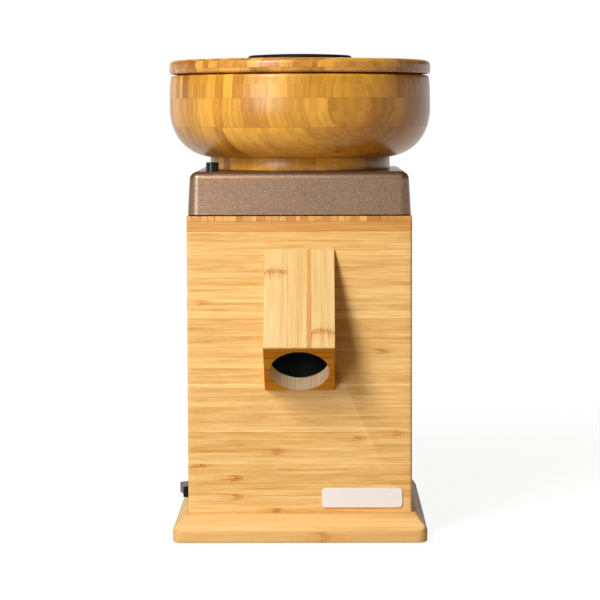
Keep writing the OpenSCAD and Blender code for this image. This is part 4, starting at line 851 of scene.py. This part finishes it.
SWITCH_Y = -40.0
SWITCH_Z = 32.0
ROCKER_IN = 1.5
frame_body = framed_socket(rectangle(28.0, 13.2), 1.6, rectangle(24.4, 10.9), 0.6, 1.6, 15.6)
new_piece("switch_frame", *stood(frame_body, "left", -SWITCH_Y, BOX_W / 2, SWITCH_Z), black_plastic, "case",
          "black_plastic", ["switch_housing"])
button_plastic = skin("glossy black plastic", (10, 10, 11), (24, 24, 26), 0.32, specular=0.35, grain=0.6,
                      mottle=0.3, wear=0.2)
points, faces = stacked(rocker_loops())
points[:, :2] = turned_plan(points[:, :2], math.radians(10))
new_piece("switch_rocker_black", points + [ROCKER_IN - BOX_W / 2, SWITCH_Y, SWITCH_Z], faces, button_plastic,
          "rocker", "button_plastic", ["switch_rocker"])

# ---- inlet and vents
# On the back: a moulded mains inlet low down and two slatted grilles over the motor, all black
# plastic, each held by small screws.
inlet_hole = [(-8.5, -8.5), (8.5, -8.5), (12.5, -4.5), (12.5, 8.5), (-12.5, 8.5), (-12.5, -4.5)]
inlet_frame = [(-22.0, -12.0), (22.0, -12.0), (25.0, -9.0), (25.0, 12.0), (-25.0, 12.0), (-25.0, -9.0)]
inlet = framed_socket(inlet_frame, 1.5, inlet_hole, 0.5, 2.5, 16.0)
new_piece("inlet_socket_black", *stood(inlet, "back", INLET_X, FACE_Y, INLET_Z), black_plastic, "case",
          "black_plastic", ["power_inlet"])


def vent():
    """One grille: an eased frame joined as a closed ring of loops, and level slats with rounded fronts."""
    inner, tube = rectangle(65.6, 19.6), rectangle(71.6, 25.6)
    rows = flange(rectangle(84.0, 38.0), 3.0, 2.0, 0.5)
    rows += [(inner, 1.0, -0.4, 2.0), (inner, 1.0, -0.1, 1.9), (inner, 1.0, 0.0, 1.6), (inner, 1.0, 0.0, -5.8)]
    rows += [(tube, 0.5, 0.0, -5.8), (tube, 0.5, 0.0, 0.0)]
    slat = np.array([(-5.8, -0.9), (-5.8, 0.9), (1.0, 1.0), (1.5, 0.7), (1.7, 0.0), (1.5, -0.7), (1.0, -1.0)])
    slats = [stacked([np.column_stack([np.full(len(slat), x), slat + (0.0, up)]) for x in (-33.0, 33.0)])
             for up in (-5.2, 0.0, 5.2)]
    return merged([stacked(upright_loops(rows), "joined"), *slats])


vents = merged([stood(vent(), "back", 0.0, FACE_Y, z) for z in VENTS_Z])
new_piece("vent_slats", *vents, black_plastic, "case", "black_plastic", ["vent_grilles"], sharp=35.0)

# ---- hopper foot
# A short turned ring of the same laminated bamboo as the bowl, screwed to the stone holder; the
# machine's only gap above the cap is under it.


def hopper_wood(name, seed, light, dark, **values):
    """Varnished bamboo for turned pieces: slats stand on edge, turned so that their faces look 28 degrees to
    the right of the front, in layers 22.66 mm thick that meet at height 345."""
    values = {"Slat": 7.7, "Layer": 22.66, "Length": 120.0, "Variety": 0.7, "Fibre": 0.9, "Broad": 0.7, "Fine": 1.1,
              "Short": 6.0, "Deep": 10.0, "Knuckles": 0.2, "Seams": 0.3, **values}
    return bamboo(name, (0, 0, -28), light, dark, (0, 0, -345.06), rough=0.5, coat=0.85, specular=0.1, Seed=seed,
                  **values)


bowl_wood = hopper_wood("bowl bamboo", 71.0, (232, 174, 64), (162, 100, 4))
foot_ring = [(62.2, 288.4), (72.6, 288.4), (72.9, 288.55), (73.0, 288.9), (73.0, 297.6), (72.8, 297.95),
             (72.0, 298.0), (16.0, 298.0), (16.0, 295.0), (62.2, 295.0)]
new_piece("hopper_foot_ring", *turned(foot_ring, 192, True), bowl_wood, "hopper", "bamboo_hopper", ["hopper_foot"],
          sharp=35.0)

# ---- hopper bowl
# Three layers of laminated bamboo glued up and turned: a squarish shoulder, a wall that leans in a
# little to the rim, and a smooth hollow down to the throat. Varnished.
BOWL_FOOT = 298.0
BOWL_TOP = 364.0
BOWL_R = 105.7


def quarter(first, last, power, count):
    """Points from first to last on a quarter of a super-ellipse: share^(2/power) of cosine and sine."""
    a = np.radians(np.linspace(0, 90, count))
    across, up = np.cos(a) ** (2 / power), np.sin(a) ** (2 / power)
    return np.column_stack([last[0] + (first[0] - last[0]) * across, first[1] + (last[1] - first[1]) * up])


def bowl_profile():
    """Closed profile (radius, height) from the throat out along the foot, up outside, over the rim and down
    the hollow."""
    turn_z = BOWL_FOOT + 41.5
    outer = quarter((BOWL_R, turn_z), (63.7, turn_z - 42.2), 2.3, 48)[::-1]
    outer = outer[outer[:, 1] > BOWL_FOOT + 0.02]
    rim = np.array([(-0.3, -10.0), (-0.85, -2.7), (-1.1, -1.7), (-1.7, -1.0), (-2.6, -0.7), (-8.2, 0.0),
                    (-9.8, 0.0), (-10.5, -0.2), (-10.9, -0.9)]) + (BOWL_R, BOWL_TOP)
    inner = quarter((94.7, turn_z + 5), (50.0, BOWL_FOOT + 11), 2.3, 40)
    floor = [(24.4, BOWL_FOOT + 8), (24.3, BOWL_FOOT + 6), (16.0, BOWL_FOOT + 6)]
    foot = [(16.0, BOWL_FOOT), (outer[0][0] - 1.5, BOWL_FOOT)]
    return np.vstack([foot, outer, rim, inner, floor])


new_piece("hopper_bowl_turned", *turned(bowl_profile(), 256, True), bowl_wood, "hopper", "bamboo_hopper",
          ["hopper_bowl"], sharp=50.0)

# ---- throat guard
# A black plastic insert in the bowl's floor with a flange and two bars, which keeps fingers away
# from the stones. Its tube leads the grain to the upper stone.
guard = [(15.8, 295.0), (15.8, 304.0), (23.6, 304.0), (24.0, 304.3), (24.0, 305.6), (23.5, 306.0), (13.6, 306.0),
         (13.1, 305.7), (13.0, 305.2), (13.0, 295.0)]
BAR_X = 4.6
bar_end = math.sqrt(15.0 ** 2 - BAR_X ** 2)
bars = [stacked(upright_loops([(rectangle(2.0, 2.0, x, 305.0), 0.5, 0.0, y) for y in (-bar_end, bar_end)], 3))
        for x in (-BAR_X, BAR_X)]
new_piece("throat_insert", *merged([turned(guard, closed=True), *bars]), black_plastic, "hopper", "black_plastic",
          ["throat_guard"], sharp=35.0)

# ---- lid
# A turned lid in two plies with a large round on its top edge. A shallow plug below it drops into
# the bowl, and a dark wooden disc with softened edges is let into its top as the grip.
LID_R = 105.75
LID_Z = 364.0
LID_TOP = 375.6
GRIP_R = 42.5
GRIP_H = 5.4


def lid_profile():
    """Profile (radius, height) from the middle of the plug out, up the eased side and in over the top."""
    below = np.array([(0.0, -5.0), (92.9, -5.0), (93.4, -4.7), (93.5, -4.2), (93.5, 0.0), (97.0, 0.0),
                      (103.55, 0.6), (104.55, 0.8), (105.35, 1.3), (LID_R, 2.3)]) + (0.0, LID_Z)
    a = np.radians(np.linspace(0, 90, 13))
    top = np.column_stack([LID_R - 4.5 * (1 - np.cos(a)), LID_TOP - 4.5 * (1 - np.sin(a))])
    return np.vstack([below, top, [(60.0, LID_TOP), (36.5, LID_TOP), (36.5, LID_TOP - 2), (0.0, LID_TOP - 2)]])


def grip_profile():
    """Profile of the disc: a rim rounded by a quarter oval, then a top that rises gently to the middle."""
    a = np.radians(np.linspace(0, 90, 10))
    edge = np.column_stack([GRIP_R - 3.0 * (1 - np.cos(a)), LID_TOP + GRIP_H - 1.2 - 3.0 * (1 - np.sin(a))])
    share = np.linspace(0, 1, 10)[1:]
    dome = np.column_stack([(GRIP_R - 3) * (1 - share), LID_TOP + GRIP_H - 1.2 * (1 - share) ** 2])
    return np.vstack([[(0.0, LID_TOP - 2), (36.3, LID_TOP - 2), (36.3, LID_TOP), (GRIP_R - 0.8, LID_TOP),
                       (GRIP_R, LID_TOP + 0.8)], edge, dome])


lid_wood = hopper_wood("lid bamboo", 93.0, (228, 168, 70), (150, 90, 6), Layer=5.8, Length=75.0, Variety=0.85)
new_piece("lid_turned", *turned(lid_profile(), 256), lid_wood, "lid", "bamboo_hopper", ["lid"], sharp=50.0)
dark_wood = bamboo("dark grip wood", (0, 0, 20), (40, 25, 13), (22, 13, 7), rough=0.6, coat=0.0, specular=0.1,
                   Slat=60.0, Seed=5.0, Variety=0.3, Fibre=0.9, Seams=0.0)
new_piece("lid_grip_disc", *turned(grip_profile(), 160), dark_wood, "lid", "dark_wood", ["lid_grip"], sharp=50.0)

# ---- release pin
# A glossy black push pin beside the hopper's foot. Pressed down against its spring, it takes its
# arm out of the way of the hopper's stop ring.
SPRING_LOW = 255.5
SPRING_HIGH = 281.6
stem = [(0.0, 260.5), (2.5, 260.5), (2.5, SPRING_HIGH), (6.7, SPRING_HIGH), (7.0, 281.9), (7.0, 284.3),
        (6.7, 284.6), (5.0, 284.6)]
stem += [(5.0 - 0.7 * (1 - math.cos(a)), 294.3 + 0.7 * math.sin(a)) for a in np.radians([0, 22, 45, 67, 90])]
stem += [(2.0, 295.0), (0.0, 295.0)]
arm = outline(rectangle(17.0 - 0.1, 6.0, 4.0 + 8.45, 0.0), 0.6, 0.0, 4)
arm = turned_plan(arm, math.atan2(-PIN_AT[1], -PIN_AT[0])) + PIN_AT
pin = merged([turned(stem, 64, False, PIN_AT), stacked([level(arm, 281.8), level(arm, 284.4)])])
new_piece("release_pin_black", *pin, button_plastic, "release_pin", "button_plastic", ["release_pin"], sharp=35.0)


def spring_wire(radius, wire, turns):
    """Open coil in a closed tube: its middle line is radius * (cosine, sine) of a steady turn while it rises
    evenly from its seat to the pin's flange."""
    turn = np.arange(turns * 32 + 1) * 2 * np.pi / 32
    round_wire = np.arange(10) * 2 * np.pi / 10
    reach = radius + wire * np.cos(round_wire)
    rise = SPRING_LOW + wire + 0.05 + (SPRING_HIGH - SPRING_LOW - 2 * wire - 0.1) * turn / turn[-1]
    return stacked(np.stack([np.cos(turn)[:, None] * reach + PIN_AT[0], np.sin(turn)[:, None] * reach + PIN_AT[1],
                             rise[:, None] + wire * np.sin(round_wire)], -1))


steel = skin("zinc plated steel", (186, 189, 192), (210, 212, 214), 0.34, 0.9, grain=1.2)
spring = new_piece("pin_spring_coil", *spring_wire(5.2, 0.45, 6), steel, "release_pin", "bright_steel",
                   ["pin_spring"])
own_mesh(spring)

# ---- finishes of the inner parts
# Motor, bearings, stones, chamber, wiring and screws keep their CAD shapes, which are hidden by the
# case or seen only through an opening. Each gets the finish of its real material.
inner = {
    steel: "foot_screws case_screws cap_screws spout_screws chamber_screws holder_screws motor_bolts through_bolts"
           " capacitor_clip",
    skin("blackened steel", (40, 40, 41), (92, 90, 88), 0.4, 0.7, wear=0.5): "trim_screws",
    skin("ground steel", (172, 174, 176), (196, 198, 200), 0.28, 1.0, along=0.1):
        "motor_shaft stone_carrier sweeper_ring",
    skin("laminated steel", (112, 114, 117), (90, 84, 78), 0.5, 0.8, grain=2.0, mottle=0.4):
        "stator_core rotor_core",
    skin("bearing steel", (206, 208, 210), (206, 208, 210), 0.14, 1.0, mottle=0.04):
        "bearing_outer_races bearing_inner_races bearing_balls",
    skin("die-cast alloy", (170, 172, 174), (146, 147, 149), 0.46, 0.85, grain=0.9, mottle=0.2):
        "upper_end_bell lower_end_bell thread_collar stone_holder rotor_cage",
    skin("varnished copper wire", (184, 104, 52), (120, 62, 30), 0.3, 0.85, grain=1.8, mottle=0.5):
        "stator_windings",
    skin("brass", (205, 172, 88), (160, 126, 60), 0.3, 0.95): "carrier_nut stop_ring inlet_pins",
    skin("bonded stone", (208, 199, 183), (168, 158, 142), 0.85, grain=1.3, mottle=0.7, wear=0.6, bump=0.0002):
        "lower_stone upper_stone",
    skin("filled plastic", (44, 43, 41), (70, 68, 64), 0.55, grain=1.8, mottle=0.35):
        "milling_chamber cooling_fan",
    skin("lead insulation", (122, 44, 34), (90, 34, 28), 0.5, mottle=0.15): "internal_leads",
    skin("capacitor case", (200, 197, 190), (170, 166, 158), 0.4, mottle=0.08): "run_capacitor",
    skin("pale plastic", (214, 209, 200), (190, 184, 172), 0.45, mottle=0.08): "pin_guide",
    skin("brown lip seal rubber", (92, 48, 38), (70, 36, 28), 0.65, mottle=0.2): "shaft_seal",
    black_rubber: "motor_gasket",
    # seal strip coloured near black: painted shade of the gap under the cap
    skin("near-black seal strip, painted gap shade", (18, 16, 14), (34, 31, 28), 0.75, mottle=0.3): "cap_seal",
    bamboo("sawn glue block", (0, 90, 0), (228, 178, 108), (196, 136, 72), rough=0.6, coat=0.0, Seed=2.0,
           Variety=0.4, Fibre=0.6, Seams=0.4): "corner_blocks",
}
for material, names in inner.items():
    for name in names.split():
        nodes[name].data.materials.clear()
        nodes[name].data.materials.append(material)

# ---- floor, light and camera
# A white floor and backdrop, two soft oval lights from the front left, one high and one low, weak
# warm room light all round, and a long lens a little below the lid.


def most(first, *others):
    """The largest of some signals."""
    for other in others:
        first = first.calc("MAXIMUM", other)
    return first


def white_stage(name, shade):
    """White sheet. To the camera and in reflections it glows by 1 - 0.55 * shade near the machine, plus shade
    times the light it gets, and is plain white from 0.75 m away; to all other rays it is warm matt card."""
    made, tree, shader = new_material(name)
    fill(shader, {"Base Color": (0.34, 0.23, 0.11, 1.0), "Roughness": 0.95, "Specular IOR Level": 0.0})
    rays = add(tree, "LightPath")
    seen = most(rays["Is Camera Ray"], rays["Is Glossy Ray"], rays["Is Transmission Ray"])
    away = add(tree, "VectorMath", {0: add(tree, "TexCoord")["Object"]}, operation="LENGTH")["Value"]
    dark = ramp(away, 0.75, 0.3) * shade
    matt, glow = [add(tree, "CombineColor", dict.fromkeys(range(3), grey))[0] for grey in (dark, 1.0 - dark * 0.55)]
    matt = add(tree, "BsdfDiffuse", {"Color": matt})[0]
    glow = add(tree, "Emission", {"Color": glow, "Strength": 1.0})[0]
    both = add(tree, "AddShader", {0: matt, 1: glow})[0]
    fill(tree.nodes["Material Output"], {0: add(tree, "MixShader", {0: seen, 1: shader.outputs[0], 2: both})[0]})
    return made


def flat_sheet(name, corners, material):
    """One four-cornered sheet of the stage, in metres."""
    mesh = bpy.data.meshes.new(name)
    mesh.from_pydata(corners, [], [(0, 1, 2, 3)])
    mesh.materials.append(material)
    linked(name, mesh)


flat_sheet("floor", [(-6, -4, 0), (6, -4, 0), (6, 3, 0), (-6, 3, 0)], white_stage("white floor", 0.14))
flat_sheet("backdrop", [(-1.2, 3, 0), (1.2, 3, 0), (1.2, 3, 3), (-1.2, 3, 3)], white_stage("white backdrop", 0.0))

world = bpy.data.worlds.new("room")
bpy.context.scene.world = world
world.use_nodes = True
room = world.node_tree
rays = add(room, "LightPath")
height = split(add(room, "TexCoord")["Generated"])[2]
sweep = rays["Is Glossy Ray"] * ramp(height, 0.16, 0.08)
seen = most(sweep, rays["Is Camera Ray"], rays["Is Transmission Ray"])
dim = fill(room.nodes["Background"], {"Color": (1.0, 0.76, 0.46, 1.0), "Strength": 0.12})
bright = add(room, "Background", {"Color": (1.0, 1.0, 1.0, 1.0), "Strength": 1.0})[0]
both = add(room, "MixShader", {0: seen, 1: dim.outputs[0], 2: bright})[0]
fill(room.nodes["World Output"], {0: both})


def soft_light(name, place, aim, w, h, power):
    """Oval soft light, its face turned to the aim point."""
    lamp = bpy.data.lights.new(name, "AREA")
    lamp.shape, lamp.size, lamp.size_y, lamp.energy = "ELLIPSE", w, h, power
    made = linked(name, lamp)
    made.location = place
    made.rotation_euler = (Vector(aim) - Vector(place)).to_track_quat("-Z", "Y").to_euler()


soft_light("key", (-0.80, -1.39, 1.56), (0.0, 0.0, 0.2), 0.56, 0.78, 44.0)
soft_light("low", (-0.88, -1.58, 0.47), (0.0, 0.0, 0.32), 0.85, 0.45, 9.5)

camera = bpy.data.cameras.new("camera")
camera.lens, camera.sensor_width = 118.7, 36.0
camera.shift_y = -0.1134
eye = linked("camera", camera)
eye.location = (0.0158, -1.613, 0.3349)
eye.rotation_euler = (math.radians(86.5), math.radians(0.18), math.radians(0.56))
bpy.context.scene.camera = eye
bpy.context.scene.view_settings.view_transform = "Standard"
